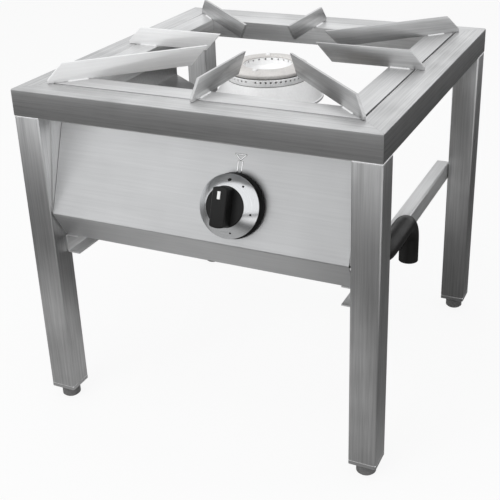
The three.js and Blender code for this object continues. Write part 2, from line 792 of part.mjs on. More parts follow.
function addGrip() {
  const base = gripSeat + FIT_GAP;
  const top = base + GRIP_DISC;
  const disc = roundBar(BEZEL_INNER_RADIUS - FIT_GAP, base, top, 40);
  const front = top + GRIP_HEIGHT;
  const half = GRIP_WIDTH / 2;
  const side = outline([
    [-half, top - OVERCUT],
    [half, top - OVERCUT],
    [half, front - GRIP_CROWN],
    [half - GRIP_CROWN, front],
    [GRIP_CROWN - half, front],
    [-half, front - GRIP_CROWN],
  ]);
  const radius = BEZEL_INNER_RADIUS - FIT_GAP;
  const bar = alongY(side, -radius - OVERCUT, radius + OVERCUT);
  const ends = roundBar(radius, top - 2 * OVERCUT, front + OVERCUT, 40);
  const rounded = geometryOf(solid(bar).intersect(solid(ends)));
  add("knob_grip", join(disc, rounded), blackPlastic(), tap);

  const index = block(
    INDEX_WIDTH,
    INDEX_LENGTH,
    INDEX_THICKNESS,
    0,
    INDEX_UP + INDEX_LENGTH / 2,
    front + SEAM + INDEX_THICKNESS / 2,
  );
  add("knob_index", index, whitePaint(), tap);
}

function addTap() {
  const shoulder = -SHEET - FIT_GAP;
  const rear = shoulder - TAP_LENGTH;
  const chamberFront = -PLUG_FRONT + FIT_GAP;
  const down = (geometry) => geometry.rotateX(-axisTurn).translate(0, 0, -TAP_SETBACK);
  const sideways = (geometry) => geometry.rotateY(-Math.PI / 2).translate(0, 0, -TAP_SETBACK);
  const casting = join(
    roundBar(TAP_RADIUS, rear, shoulder),
    roundBar(NECK_RADIUS, shoulder - OVERCUT, NECK_REACH),
    down(roundBar(PIPE_DIAMETER / 2, -INLET_REACH, 0, 20)),
    sideways(roundBar(FEED_RADIUS + SHEET, 0, OUTLET_REACH, 16)),
  );
  const body = cut(
    casting,
    roundBar(PLUG_RADIUS + FIT_GAP, rear - OVERCUT, chamberFront),
    roundBar(SPINDLE_RADIUS + FIT_GAP, chamberFront - OVERCUT, NECK_REACH + OVERCUT),
    down(roundBar(PIPE_DIAMETER / 2 - PIPE_WALL - SHEET, -INLET_REACH - OVERCUT, 0, 16)),
    sideways(roundBar(FEED_RADIUS - FEED_WALL, 0, OUTLET_REACH + OVERCUT, 12)),
  );
  add("tap_body", body, brass(), tap);

  const plugRear = -PLUG_FRONT - PLUG_LENGTH;
  const plug = cut(
    roundBar(PLUG_RADIUS, plugRear, -PLUG_FRONT),
    spindleBar(FIT_GAP, -SPINDLE_IN - KNOB_LIFT - FIT_GAP, -PLUG_FRONT + OVERCUT),
    roundBar(FEED_RADIUS - FEED_WALL, -PLUG_RADIUS - OVERCUT, PLUG_RADIUS + OVERCUT, 12)
      .rotateX(Math.PI / 2)
      .translate(0, 0, -TAP_SETBACK - FEED_RADIUS),
  );
  add("tap_plug", plug, brass(), tap);

  const capFace = rear - FIT_GAP;
  const endCap = join(
    hexBar(NUT_FLATS, capFace - END_CAP_HEAD, capFace),
    roundBar(PLUG_RADIUS, capFace - OVERCUT, plugRear - FIT_GAP),
  );
  add("tap_end_cap", endCap, brass(), tap);

  const nut = cut(
    hexBar(NUT_FLATS, FIT_GAP, FIT_GAP + NUT_HEIGHT),
    roundBar(NECK_RADIUS + FIT_GAP, -OVERCUT, FIT_GAP + NUT_HEIGHT + OVERCUT),
  );
  add("tap_nut", nut, brass(), tap);

  add("tap_spindle", spindleBar(0, -SPINDLE_IN, spindleTop), brass(), tap);
}

// ---------------------------------------------------------------- gas lines

const pipeRadius = PIPE_DIAMETER / 2;
const supplyZ = railTop + PIPE_RAIL_GAP + pipeRadius;
const supplyX = insideLegs + PIPE_SIDE_GAP + pipeRadius;

function addSupplyPipe() {
  const at = (x, y, z) => new THREE.Vector3(x, y, z);
  const dropY = tapCentre.y + PIPE_REAR_RUN;
  const route = [
    at(TAP_X, tapCentre.y, tapCentre.z - INLET_REACH - FIT_GAP),
    at(TAP_X, tapCentre.y, supplyZ),
    at(supplyX, tapCentre.y, supplyZ),
    at(supplyX, dropY, supplyZ),
    at(supplyX, dropY, supplyZ - PIPE_TAIL),
  ];
  const bends = [TAP_BEND, CORNER_BEND, DROP_BEND];
  const line = new BentLine(route, bends);
  add("supply_pipe", pipe(line, pipeRadius, PIPE_WALL, 16), blackSteel());

  // The saddle is welded to the outside of the rail just behind the pipe's first corner.
  const bottom = railTop - SADDLE_DROP;
  const height = supplyZ - SADDLE_TOP - bottom;
  const saddleX = railWebX + SEAM + SADDLE_WIDTH / 2;
  const saddleY = tapCentre.y + CORNER_BEND + SADDLE_LENGTH;
  const saddle = cut(
    block(SADDLE_WIDTH, SADDLE_LENGTH, height, saddleX, saddleY, bottom + height / 2),
    roundBar(pipeRadius + FIT_GAP, -SADDLE_LENGTH, SADDLE_LENGTH)
      .rotateX(Math.PI / 2)
      .translate(supplyX, saddleY, supplyZ),
  );
  add("supply_pipe_saddle", saddle, brushedSteel());
}

// The injector line lies under the burner's axis, and its Z axis points forwards.
const injectorLine = new THREE.Group();
injectorLine.position.z = tapCentre.z;
injectorLine.rotation.x = Math.PI / 2;
range.add(injectorLine);

const shutterEnd = MIXER_REACH + SHUTTER_AIR_GAP;
const headBack = shutterEnd + SHUTTER_END + FIT_GAP;

function addInjectorLine() {
  const boreRadius = MIXER_RADIUS + FIT_GAP;
  const tube = new BentLine(
    [
      new THREE.Vector3(0, 0, supportTop - SUPPORT_SHEET - FIT_GAP),
      new THREE.Vector3(0, 0, tapCentre.z),
      new THREE.Vector3(0, -MIXER_REACH, tapCentre.z),
    ],
    [MIXER_BEND],
  );
  add("mixing_tube", pipe(tube, MIXER_RADIUS, MIXER_WALL, 20), castAluminium());

  const sleeve = turnedRing(
    [
      [boreRadius, MIXER_REACH - SHUTTER_OVERLAP],
      [boreRadius + SHUTTER_WALL, MIXER_REACH - SHUTTER_OVERLAP],
      [boreRadius + SHUTTER_WALL, shutterEnd + SHUTTER_END],
      [INJECTOR_RADIUS + FIT_GAP, shutterEnd + SHUTTER_END],
      [INJECTOR_RADIUS + FIT_GAP, shutterEnd],
      [boreRadius, shutterEnd],
    ],
    32,
  );
  const airGap = SHUTTER_AIR_GAP - FIT_GAP;
  const middle = shutterEnd - airGap / 2;
  const window = block(4 * boreRadius, SHUTTER_WINDOW, airGap - SHUTTER_END, 0, 0, middle);
  add("air_shutter", cut(sleeve, window), brushedSteel(), injectorLine);

  const injector = cut(
    join(
      roundBar(INJECTOR_RADIUS, headBack - INJECTOR_SHANK, headBack + OVERCUT, 16),
      hexBar(INJECTOR_HEAD_FLATS, headBack, headBack + INJECTOR_HEAD),
    ),
    roundBar(INJECTOR_BORE, headBack - INJECTOR_SHANK - OVERCUT, headBack + 2 * OVERCUT, 8),
    roundBar(
      FEED_RADIUS - FEED_WALL,
      headBack + OVERCUT,
      headBack + INJECTOR_HEAD + OVERCUT,
      12,
    ),
  );
  add("injector", injector, brass(), injectorLine);

  const feed = new BentLine(
    [
      new THREE.Vector3(TAP_X - OUTLET_REACH - FIT_GAP, tapCentre.y, tapCentre.z),
      new THREE.Vector3(0, tapCentre.y, tapCentre.z),
      new THREE.Vector3(0, -headBack - INJECTOR_HEAD - FIT_GAP, tapCentre.z),
    ],
    [FEED_BEND],
  );
  add("feed_pipe", pipe(feed, FEED_RADIUS, FEED_WALL, 10), brass());
}

addStand();
addRails();
addPanel();
addCheeks();
addPanSupport();
addBurnerSupport();
addBurnerBody();
addBurnerCrown();
addBurnerCap();
addKnob();
addTap();
addSupplyPipe();
addInjectorLine();

// The part's own origin is on the floor, under the middle of its outline.
const extent = new THREE.Box3().setFromObject(range, true);
const middle = extent.getCenter(new THREE.Vector3());
range.position.set(-middle.x, -middle.y, -extent.min.z);

export default range;
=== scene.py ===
"""The looks of a one-burner stock pot range: a square-tube stand, a lift-off pan support,
a cast ring burner, and one gas tap behind a leaning control panel. Metres."""
import math

import bmesh
import bpy
from mathutils import Matrix, Vector


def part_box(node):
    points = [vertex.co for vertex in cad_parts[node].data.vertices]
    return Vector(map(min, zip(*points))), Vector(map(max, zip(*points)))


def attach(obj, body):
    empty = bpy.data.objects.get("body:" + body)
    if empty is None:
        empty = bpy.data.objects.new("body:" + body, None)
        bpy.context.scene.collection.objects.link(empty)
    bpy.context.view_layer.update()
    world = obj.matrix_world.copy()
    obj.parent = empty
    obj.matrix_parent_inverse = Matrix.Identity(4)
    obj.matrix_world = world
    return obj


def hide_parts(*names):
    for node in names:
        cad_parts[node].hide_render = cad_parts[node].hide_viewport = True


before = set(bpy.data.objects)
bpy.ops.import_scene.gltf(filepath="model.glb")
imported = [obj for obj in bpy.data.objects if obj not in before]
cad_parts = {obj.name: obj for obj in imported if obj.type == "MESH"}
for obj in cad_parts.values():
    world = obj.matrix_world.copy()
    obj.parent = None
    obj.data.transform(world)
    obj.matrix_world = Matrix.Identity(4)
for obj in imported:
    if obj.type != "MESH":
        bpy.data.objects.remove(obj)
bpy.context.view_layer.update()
MM = 0.001

# ---------------------------------------------------------------- camera
# It stands in front and to the right, about a metre off, and looks down on the stand.
YAW, PITCH, ROLL = math.radians(-25.19), math.radians(24.34), math.radians(-1.79)
camera = bpy.data.objects.new("camera", bpy.data.cameras.new("camera"))
bpy.context.scene.collection.objects.link(camera)
bpy.context.scene.camera = camera
bpy.context.scene.view_settings.view_transform = "Standard"
camera.data.sensor_width = 36
camera.data.lens = 68.1
camera.data.shift_x = -0.026
camera.data.shift_y = -0.08
ahead = Vector((math.sin(YAW) * math.cos(PITCH), math.cos(YAW) * math.cos(PITCH), -math.sin(PITCH)))
level = Vector((math.cos(YAW), -math.sin(YAW), 0))
above = level.cross(ahead)
rolled = level * math.cos(ROLL) + above * math.sin(ROLL)
above = above * math.cos(ROLL) - level * math.sin(ROLL)
turn = Matrix((rolled, above, -ahead)).transposed().to_4x4()
camera.matrix_world = Matrix.Translation((0.4309, -0.9271, 0.6591)) @ turn

# ---------------------------------------------------------------- studio
# A pale floor in a white studio, lit by two large soft lamps. The camera sees the floor and
# the far white as white, and dull surfaces see the floor as pale paper. The steel mirrors it
# as a quieter grey: lighter near the feet and off to the right, darker everywhere else.
SKY_COLOUR = (0.985, 0.992, 1, 1)
SKY_IN_STEEL = 1.0
SKY_ON_SURFACES = 0.6
FLOOR_HALF = 6.0
FLOOR_DROP = 0.0004
FLOOR_PAPER = (0.75, 0.75, 0.75, 1)
FLOOR_WHITE_SHARE = 0.9
FLOOR_NEAR_IN_STEEL = 0.45
FLOOR_FRONT_IN_STEEL = 0.15
FLOOR_BACK_IN_STEEL = 0.05
FLOOR_RIGHT_IN_STEEL = 1.0
FRONT_TO_BACK = (-0.1, 0.6)
NEAR_PLACE, NEAR_STRETCH, NEAR_FADE = (-0.12, -0.39, 0), (1, 1.3, 1), (0.2, 0.5)
RIGHT_PLACE, RIGHT_FADE = (1.05, -0.85, 0), (0.3, 0.95)
WHITE = (1, 1, 1, 1)


def node(tree, kind, inputs=None, **settings):
    """A shader node with its settings and inputs; an input is a value or another node's socket."""
    made = tree.nodes.new("ShaderNode" + kind)
    for key, value in settings.items():
        setattr(made, key, value)
    for key, value in (inputs or {}).items():
        if isinstance(value, bpy.types.NodeSocket):
            tree.links.new(value, made.inputs[key])
        else:
            made.inputs[key].default_value = value
    return made


def fade(tree, value, start, end, low=0.0, high=1.0, curve="LINEAR"):
    """The value, carried over from the range start to end into the range low to high."""
    inputs = {"Value": value, "From Min": start, "From Max": end, "To Min": low, "To Max": high}
    return node(tree, "MapRange", inputs, interpolation_type=curve).outputs[0]


def mix(tree, share, first, second):
    """Two shaders in one; the share is that of the second."""
    return node(tree, "MixShader", {0: share, 1: first.outputs[0], 2: second.outputs[0]})


def empty_tree(owner):
    """The cleared node tree of a material or a world."""
    owner.use_nodes = True
    owner.node_tree.nodes.clear()
    return owner.node_tree


world = bpy.data.worlds.new("studio")
bpy.context.scene.world = world
tree = empty_tree(world)
ray = node(tree, "LightPath")
glow = fade(tree, ray.outputs["Is Glossy Ray"], 0, 1, SKY_ON_SURFACES, SKY_IN_STEEL)
room = node(tree, "Background", {"Color": SKY_COLOUR, "Strength": glow})
white = node(tree, "Background", {"Color": WHITE, "Strength": 1.0})
mixed = mix(tree, ray.outputs["Is Camera Ray"], room, white)
node(tree, "OutputWorld", {"Surface": mixed.outputs[0]})

floor_material = bpy.data.materials.new("floor")
tree = empty_tree(floor_material)
ray = node(tree, "LightPath")
place = node(tree, "TexCoord").outputs["Object"]
drawn = node(tree, "VectorMath", {0: place, 1: NEAR_STRETCH}, operation="MULTIPLY")
away = node(tree, "VectorMath", {0: drawn.outputs[0], 1: NEAR_PLACE}, operation="DISTANCE")
depth = node(tree, "SeparateXYZ", {"Vector": place})
behind = fade(tree, depth.outputs["Y"], *FRONT_TO_BACK, FLOOR_FRONT_IN_STEEL, FLOOR_BACK_IN_STEEL)
glow = fade(tree, away.outputs["Value"], *NEAR_FADE, FLOOR_NEAR_IN_STEEL, behind, "SMOOTHSTEP")
beside = node(tree, "VectorMath", {0: place, 1: RIGHT_PLACE}, operation="DISTANCE")
patch = fade(tree, beside.outputs["Value"], *RIGHT_FADE, FLOOR_RIGHT_IN_STEEL, 0.0, "SMOOTHSTEP")
glow = node(tree, "Math", {0: glow, 1: patch}, operation="MAXIMUM")
reflected = node(tree, "Emission", {"Color": WHITE, "Strength": glow.outputs[0]})
paper = node(tree, "BsdfDiffuse", {"Color": FLOOR_PAPER})
white = node(tree, "Emission", {"Color": WHITE, "Strength": 1.0})
seen = mix(tree, FLOOR_WHITE_SHARE, paper, white)
bounced = mix(tree, ray.outputs["Is Glossy Ray"], paper, reflected)
mixed = mix(tree, ray.outputs["Is Camera Ray"], bounced, seen)
node(tree, "OutputMaterial", {"Surface": mixed.outputs[0]})
floor_mesh = bpy.data.meshes.new("floor")
corners = [(a * FLOOR_HALF, b * FLOOR_HALF, -FLOOR_DROP) for a, b in ((-1, -1), (1, -1), (1, 1), (-1, 1))]
floor_mesh.from_pydata(corners, [], [(0, 1, 2, 3)])
floor_mesh.materials.append(floor_material)
floor = bpy.data.objects.new("floor", floor_mesh)
bpy.context.scene.collection.objects.link(floor)


def lamp(name, place, aim, size, power):
    """A square soft lamp that neither the camera nor the steel sees directly."""
    made = bpy.data.objects.new(name, bpy.data.lights.new(name, "AREA"))
    bpy.context.scene.collection.objects.link(made)
    made.data.size = size
    made.data.energy = power
    made.location = place
    made.rotation_euler = (Vector(aim) - Vector(place)).to_track_quat("-Z", "Y").to_euler()
    made.visible_camera = False
    made.visible_glossy = False


lamp("key", (-0.6, -2.4, 1.7), (0, 0, 0.3), size=1.8, power=34)
lamp("overhead", (0.0, -0.2, 2.4), (0, 0, 0.3), size=1.6, power=14)

# ---------------------------------------------------------------- top frame
# Four lengths of 30 mm square stainless tube, mitred, welded at the corners and ground flush.
# The tube is satin brushed along its length, and a fine line is left at each mitre.
TUBE_CORNER = 2.0 * MM
SEAM = 0.1 * MM


def arc_corners(points, radii, steps=4, closed=True):
    """The line through the points, in the plane or in space, with an arc at each corner."""
    made = []
    count = len(points)
    for i, point in enumerate(points):
        at = Vector(point)
        radius = radii[i] if isinstance(radii, (list, tuple)) else radii
        if not radius or (not closed and i in (0, count - 1)):
            made.append(at)
            continue
        back = Vector(points[i - 1]) - at
        on = Vector(points[(i + 1) % count]) - at
        half = back.angle(on) / 2
        cut = min(radius / math.tan(half), back.length * 0.499, on.length * 0.499)
        radius = cut * math.tan(half)
        back, on = back.normalized(), on.normalized()
        centre = at + (back + on).normalized() * (radius / math.sin(half))
        first, last = at + back * cut - centre, at + on * cut - centre
        sweep = math.pi - 2 * half
        for k in range(steps + 1):
            share = k / steps
            arm = first * math.sin((1 - share) * sweep) + last * math.sin(share * sweep)
            made.append(centre + arm / math.sin(sweep))
    return made


def skin(rings, loop=False, open_section=False):
    """A surface over rings of points, with UVs in metres: U runs along the rings and V round them."""
    mesh = bmesh.new()
    layer = mesh.loops.layers.uv.new("grain")
    rows = [[mesh.verts.new(point) for point in ring] for ring in rings]
    many, count = len(rows), len(rows[0])
    around = [0.0]
    for j in range(count):
        around.append(around[-1] + (Vector(rings[0][(j + 1) % count]) - Vector(rings[0][j])).length)
    along = [0.0]
    for i in range(many):
        steps = [(Vector(a) - Vector(b)).length for a, b in zip(rings[i], rings[(i + 1) % many])]
        along.append(along[-1] + sum(steps) / count)
    for i in range(many if loop else many - 1):
        for j in range(count - 1 if open_section else count):
            i2, j2 = (i + 1) % many, (j + 1) % count
            face = mesh.faces.new((rows[i][j], rows[i2][j], rows[i2][j2], rows[i][j2]))
            spots = ((i, j), (i + 1, j), (i + 1, j + 1), (i, j + 1))
            for corner, (a, b) in zip(face.loops, spots):
                corner[layer].uv = (along[a], around[b])
    if not loop and not open_section:
        mesh.faces.new(rows[0])
        mesh.faces.new(rows[-1])
    bmesh.ops.remove_doubles(mesh, verts=mesh.verts, dist=1e-6)
    bmesh.ops.recalc_face_normals(mesh, faces=mesh.faces)
    return mesh


def ease_edges(mesh, width, steps=2, sharper_than=40):
    """Rounds the sharp edges by a small width."""
    limit = math.radians(sharper_than)
    edges = [edge for edge in mesh.edges if edge.calc_face_angle(0) > limit]
    settings = {"offset": width, "segments": steps, "profile": 0.5, "affect": "EDGES"}
    bmesh.ops.bevel(mesh, geom=edges, clamp_overlap=True, **settings)
    return mesh


def piece(name, mesh, body, material, slot, *nodes, sharp=32):
    """The mesh as an object that rides on a body and stands for some of the CAD nodes."""
    bmesh.ops.recalc_face_normals(mesh, faces=mesh.faces)
    data = bpy.data.meshes.new(name)
    mesh.to_mesh(data)
    mesh.free()
    data.shade_smooth()
    data.set_sharp_from_angle(angle=math.radians(sharp))
    data.materials.append(material)
    made = bpy.data.objects.new(name, data)
    bpy.context.scene.collection.objects.link(made)
    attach(made, body)
    if nodes:
        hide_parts(*nodes)
    return made


GRAIN_DEPTH = 0.02 * MM


def grain_group():
    """Brushing lines along X of the vector, and the slow clouding of handled sheet."""
    group = bpy.data.node_groups.new("Brushed grain", "ShaderNodeTree")
    face = group.interface
    face.new_socket("Vector", in_out="INPUT", socket_type="NodeSocketVector")
    face.new_socket("Depth", in_out="INPUT", socket_type="NodeSocketFloat").default_value = 1.0
    face.new_socket("Streaks", in_out="OUTPUT", socket_type="NodeSocketFloat")
    face.new_socket("Clouds", in_out="OUTPUT", socket_type="NodeSocketFloat")
    face.new_socket("Normal", in_out="OUTPUT", socket_type="NodeSocketVector")
    start = group.nodes.new("NodeGroupInput")
    end = group.nodes.new("NodeGroupOutput")
    coarse = node(group, "Mapping", {"Vector": start.outputs["Vector"], "Scale": (7, 330, 330)})
    fine = node(group, "Mapping", {"Vector": start.outputs["Vector"], "Scale": (30, 1900, 1900)})
    lines = node(group, "TexNoise", {"Vector": coarse.outputs[0], "Scale": 1.0, "Detail": 3.0})
    hairs = node(group, "TexNoise", {"Vector": fine.outputs[0], "Scale": 1.0, "Detail": 2.0})
    both = node(group, "Math", {0: hairs.outputs[0], 1: 0.6, 2: lines.outputs[0]}, operation="MULTIPLY_ADD")
    even = fade(group, both.outputs[0], 0.45, 1.15)
    place = node(group, "TexCoord").outputs["Object"]
    clouds = node(group, "TexNoise", {"Vector": place, "Scale": 11.0, "Detail": 2.5, "Roughness": 0.55})
    cloudy = fade(group, clouds.outputs[0], 0.32, 0.68)
    depth = node(group, "Math", {0: start.outputs["Depth"], 1: GRAIN_DEPTH}, operation="MULTIPLY")
    bump = node(group, "Bump", {"Height": even, "Distance": depth.outputs[0], "Strength": 0.6})
    group.links.new(even, end.inputs["Streaks"])
    group.links.new(cloudy, end.inputs["Clouds"])
    group.links.new(bump.outputs[0], end.inputs["Normal"])
    return group


GRAIN = grain_group()


def ramp(tree, factor, first, last):
    """A colour that runs from one (place, colour) stop to another."""
    made = node(tree, "ValToRGB", {"Fac": factor})
    for stop, (place, colour) in zip(made.color_ramp.elements, (first, last)):
        stop.position, stop.color = place, colour
    return made.outputs[0]


def grey(level, warm=0.0):
    """A grey, or one with a little more red than blue."""
    return (level * (1 + warm), level, level * (1 - warm), 1)


CLOUD_SHARE, TONE_SHARE = 0.55, 0.65


def brushed_steel(name, dark, light, smooth, rough, along="uv", depth=1.0, warm=0.0, metallic=1.0):
    """Satin stainless. The brushing runs along the U of the mesh, or along an axis of the part."""
    made = bpy.data.materials.new(name)
    tree = empty_tree(made)
    place = node(tree, "TexCoord")
    if along == "uv":
        vector = place.outputs["UV"]
    else:
        turns = {"x": (0, 0, 0), "y": (0, 0, math.pi / 2), "z": (0, math.pi / 2, 0)}
        turned = node(tree, "Mapping", {"Vector": place.outputs["Object"], "Rotation": turns[along]})
        vector = turned.outputs[0]
    grain = node(tree, "Group", node_tree=GRAIN)
    tree.links.new(vector, grain.inputs["Vector"])
    grain.inputs["Depth"].default_value = depth
    clouds, streaks = grain.outputs["Clouds"], grain.outputs["Streaks"]
    tone = node(tree, "Math", {0: clouds, 1: CLOUD_SHARE, 2: streaks}, operation="MULTIPLY_ADD")
    tone = node(tree, "Math", {0: tone.outputs[0], 1: TONE_SHARE}, operation="MULTIPLY")
    colour = ramp(tree, tone.outputs[0], (0.1, grey(dark, warm)), (0.9, grey(light, warm)))
    wear = fade(tree, tone.outputs[0], 0, 1, rough, smooth)
    coat = {"Base Color": colour, "Roughness": wear, "Normal": grain.outputs["Normal"]}
    shader = node(tree, "BsdfPrincipled", {**coat, "Metallic": metallic})
    node(tree, "OutputMaterial", {"Surface": shader.outputs[0]})
    return made


tube_steel = brushed_steel("brushed tube", 0.40, 0.78, 0.28, 0.46)


def tube_outline(side, corner):
    """A square with rounded corners, its first corner at the origin."""
    return arc_corners([(0, 0), (side, 0), (side, side), (0, side)], corner, 5)


def mitred_square(names, section, half, bottom, body, material, slot):
    """Four mitred bars about the part's middle; the section runs inwards and up."""
    middle = Vector((0, (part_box(names[0])[0].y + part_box(names[2])[1].y) / 2, 0))
    for k, name in enumerate(names):
        turned = Matrix.Translation(middle) @ Matrix.Rotation(k * math.pi / 2, 4, "Z")
        rings = [
            [turned @ Vector((end * (half - a - SEAM), a - half, bottom + b)) for a, b in section]
            for end in (-1, 1)
        ]
        piece(name + "_look", skin(rings), body, material, slot, name)


low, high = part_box("frame_front")
tube = high.z - low.z
half_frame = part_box("frame_right")[1].x
mitred_square(
    ("frame_front", "frame_right", "frame_back", "frame_left"),
    tube_outline(tube, TUBE_CORNER),
    half_frame,
    low.z,
    "stand",
    tube_steel,
    "stand_steel",
)

# ---------------------------------------------------------------- legs and feet
# The same tube, cut square and butt-welded under the corners of the frame. A flat plate
# closes each lower end, with a nut for the levelling foot: a short turned grey plastic pad.
LEG_EASE = 0.8 * MM
FOOT_PAD, FOOT_NECK, FOOT_ROUND = 15 * MM, 4 * MM, 1.5 * MM
FOOT_RIBS, FOOT_RIB, RIB_START, RIB_STEP = 5, 0.35 * MM, 3 * MM, 2.1 * MM
CORNERS = ("front_left", "front_right", "rear_right", "rear_left")


def lathe(profile, place, steps=64, closed=False):
    """A turned shape from (radius, height) points. A closed profile goes round a hole."""
    rings = []
    for k in range(steps):
        angle = 2 * math.pi * k / steps
        cos, sin = math.cos(angle), math.sin(angle)
        rings.append([place @ Vector((radius * cos, radius * sin, height)) for radius, height in profile])
    return skin(rings, loop=True, open_section=not closed)


def speckled(name, dark, light, smooth, rough, scale, bump_height, metallic=0.0, warm=0.0, specular=0.5):
    """Moulded, cast or painted stock: a mottled colour and a fine uneven surface. The colours are
    grey levels or whole colours."""
    dark, light = (tone if isinstance(tone, tuple) else grey(tone, warm) for tone in (dark, light))
    made = bpy.data.materials.new(name)
    tree = empty_tree(made)
    place = node(tree, "TexCoord").outputs["Object"]
    spots = node(tree, "TexNoise", {"Vector": place, "Scale": scale, "Detail": 4.0, "Roughness": 0.6})
    marks = node(tree, "TexNoise", {"Vector": place, "Scale": scale / 14, "Detail": 2.0})
    tone = node(tree, "Math", {0: spots.outputs[0], 1: 0.6, 2: marks.outputs[0]}, operation="MULTIPLY_ADD")
    colour = ramp(tree, fade(tree, tone.outputs[0], 0.5, 1.1), (0.0, dark), (1.0, light))
    wear = fade(tree, marks.outputs[0], 0.3, 0.7, smooth, rough)
    bump = node(tree, "Bump", {"Height": spots.outputs[0], "Distance": bump_height, "Strength": 0.7})
    coat = {"Base Color": colour, "Roughness": wear, "Normal": bump.outputs[0]}
    shader = node(tree, "BsdfPrincipled", {**coat, "Metallic": metallic, "Specular IOR Level": specular})
    node(tree, "OutputMaterial", {"Surface": shader.outputs[0]})
    return made


foot_plastic = speckled("foot plastic", 0.10, 0.17, 0.42, 0.6, 900, 0.00004, warm=0.01)
plate_steel = brushed_steel("sheared plate", 0.46, 0.6, 0.3, 0.44, along="x")
for corner in CORNERS:
    low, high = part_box("leg_" + corner)
    outline = [(low.x + a, low.y + b) for a, b in tube_outline(tube, TUBE_CORNER)]
    leg = skin([[Vector((a, b, z)) for a, b in outline] for z in (low.z, high.z)])
    ease_edges(leg, LEG_EASE, 2, 60)
    piece("leg_" + corner + "_look", leg, "stand", tube_steel, "stand_steel", "leg_" + corner)
    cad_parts["leg_end_plate_" + corner].material_slots[0].material = plate_steel

    low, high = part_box("foot_" + corner)
    place = Matrix.Translation(((low.x + high.x) / 2, (low.y + high.y) / 2, low.z))
    radius, top = (high.x - low.x) / 2, high.z - low.z
    profile = [(0, 0), (radius - FOOT_ROUND, 0), (radius, FOOT_ROUND)]
    for k in range(FOOT_RIBS):
        height = RIB_START + RIB_STEP * k
        profile += [(radius, height), (radius - FOOT_RIB, height + 0.5 * MM), (radius, height + 1 * MM)]
    profile += [(radius, FOOT_PAD - 0.6 * MM), (radius - 0.6 * MM, FOOT_PAD)]
    profile += [(FOOT_NECK, FOOT_PAD), (FOOT_NECK, top), (0, top)]
    foot = "foot_" + corner
    piece(foot + "_look", lathe(profile, place, 48), foot, foot_plastic, "foot_grey", foot)

# ---------------------------------------------------------------- welds of the stand
# Short beads of a hand-held torch, cleaned but not dressed: one along each side of a leg's
# upper end and of its lower end. Each bead is a row of overlapping ripples.
BEAD_RADIUS = 1.15 * MM
BEAD_STEP = 0.75 * MM
BEAD_LIFT = 0.05 * MM
SMALLEST_RIPPLE = 0.78


def geometry_node(tree, kind, inputs=None, **settings):
    """A geometry node with its settings and inputs, as for shader nodes."""
    made = tree.nodes.new(kind)
    for key, value in settings.items():
        setattr(made, key, value)
    for key, value in (inputs or {}).items():
        if isinstance(value, bpy.types.NodeSocket):
            tree.links.new(value, made.inputs[key])
        else:
            made.inputs[key].default_value = value
    return made


def bead_tree():
    """Lays ripples along edge paths."""
    tree = bpy.data.node_groups.new("Weld bead", "GeometryNodeTree")
    face = tree.interface
    face.new_socket("Paths", in_out="INPUT", socket_type="NodeSocketGeometry")
    face.new_socket("Radius", in_out="INPUT", socket_type="NodeSocketFloat")
    face.new_socket("Step", in_out="INPUT", socket_type="NodeSocketFloat")
    face.new_socket("Seed", in_out="INPUT", socket_type="NodeSocketInt")
    face.new_socket("Material", in_out="INPUT", socket_type="NodeSocketMaterial")
    face.new_socket("Bead", in_out="OUTPUT", socket_type="NodeSocketGeometry")
    start, end = tree.nodes.new("NodeGroupInput"), tree.nodes.new("NodeGroupOutput")
    lines = geometry_node(tree, "GeometryNodeMeshToCurve", {"Mesh": start.outputs["Paths"]})
    spaced = {"Curve": lines.outputs[0], "Length": start.outputs["Step"]}
    even = geometry_node(tree, "GeometryNodeResampleCurve", spaced, mode="LENGTH")
    ball = {"Radius": start.outputs["Radius"], "Subdivisions": 2}
    ripple = geometry_node(tree, "GeometryNodeMeshIcoSphere", ball)
    sizes = {2: SMALLEST_RIPPLE, 3: 1.0, "Seed": start.outputs["Seed"]}
    size = geometry_node(tree, "FunctionNodeRandomValue", sizes, data_type="FLOAT")
    spread = geometry_node(
        tree,
        "GeometryNodeInstanceOnPoints",
        {"Points": even.outputs[0], "Instance": ripple.outputs[0], "Scale": size.outputs[1]},
    )
    real = geometry_node(tree, "GeometryNodeRealizeInstances", {"Geometry": spread.outputs[0]})
    smooth = geometry_node(tree, "GeometryNodeSetShadeSmooth", {"Geometry": real.outputs[0]})
    dressed = {"Geometry": smooth.outputs[0], "Material": start.outputs["Material"]}
    named = geometry_node(tree, "GeometryNodeSetMaterial", dressed)
    tree.links.new(named.outputs[0], end.inputs["Bead"])
    return tree


BEAD = bead_tree()


def grown(name, data, tree, values):
    """The plain mesh that a geometry node tree makes from the data."""
    made = bpy.data.objects.new(name, data)
    bpy.context.scene.collection.objects.link(made)
    modifier = made.modifiers.new("grow", "NODES")
    modifier.node_group = tree
    face = tree.interface.items_tree
    sockets = {item.name: item.identifier for item in face if item.in_out == "INPUT"}
    for key, value in values.items():
        modifier[sockets[key]] = value
    bpy.context.view_layer.update()
    finished = made.evaluated_get(bpy.context.evaluated_depsgraph_get())
    mesh = bpy.data.meshes.new_from_object(finished)
    made.modifiers.remove(modifier)
    made.data = mesh
    return made


def beads(name, paths, radius, seed, body):
    """Weld beads along straight paths, each a pair of points."""
    data = bpy.data.meshes.new(name)
    points = [point for path in paths for point in path]
    data.from_pydata(points, [(2 * k, 2 * k + 1) for k in range(len(paths))], [])
    values = {"Radius": radius, "Step": BEAD_STEP, "Seed": seed, "Material": weld_metal_painted_highlight}
    made = grown(name, data, BEAD, values)
    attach(made, body)
    return made
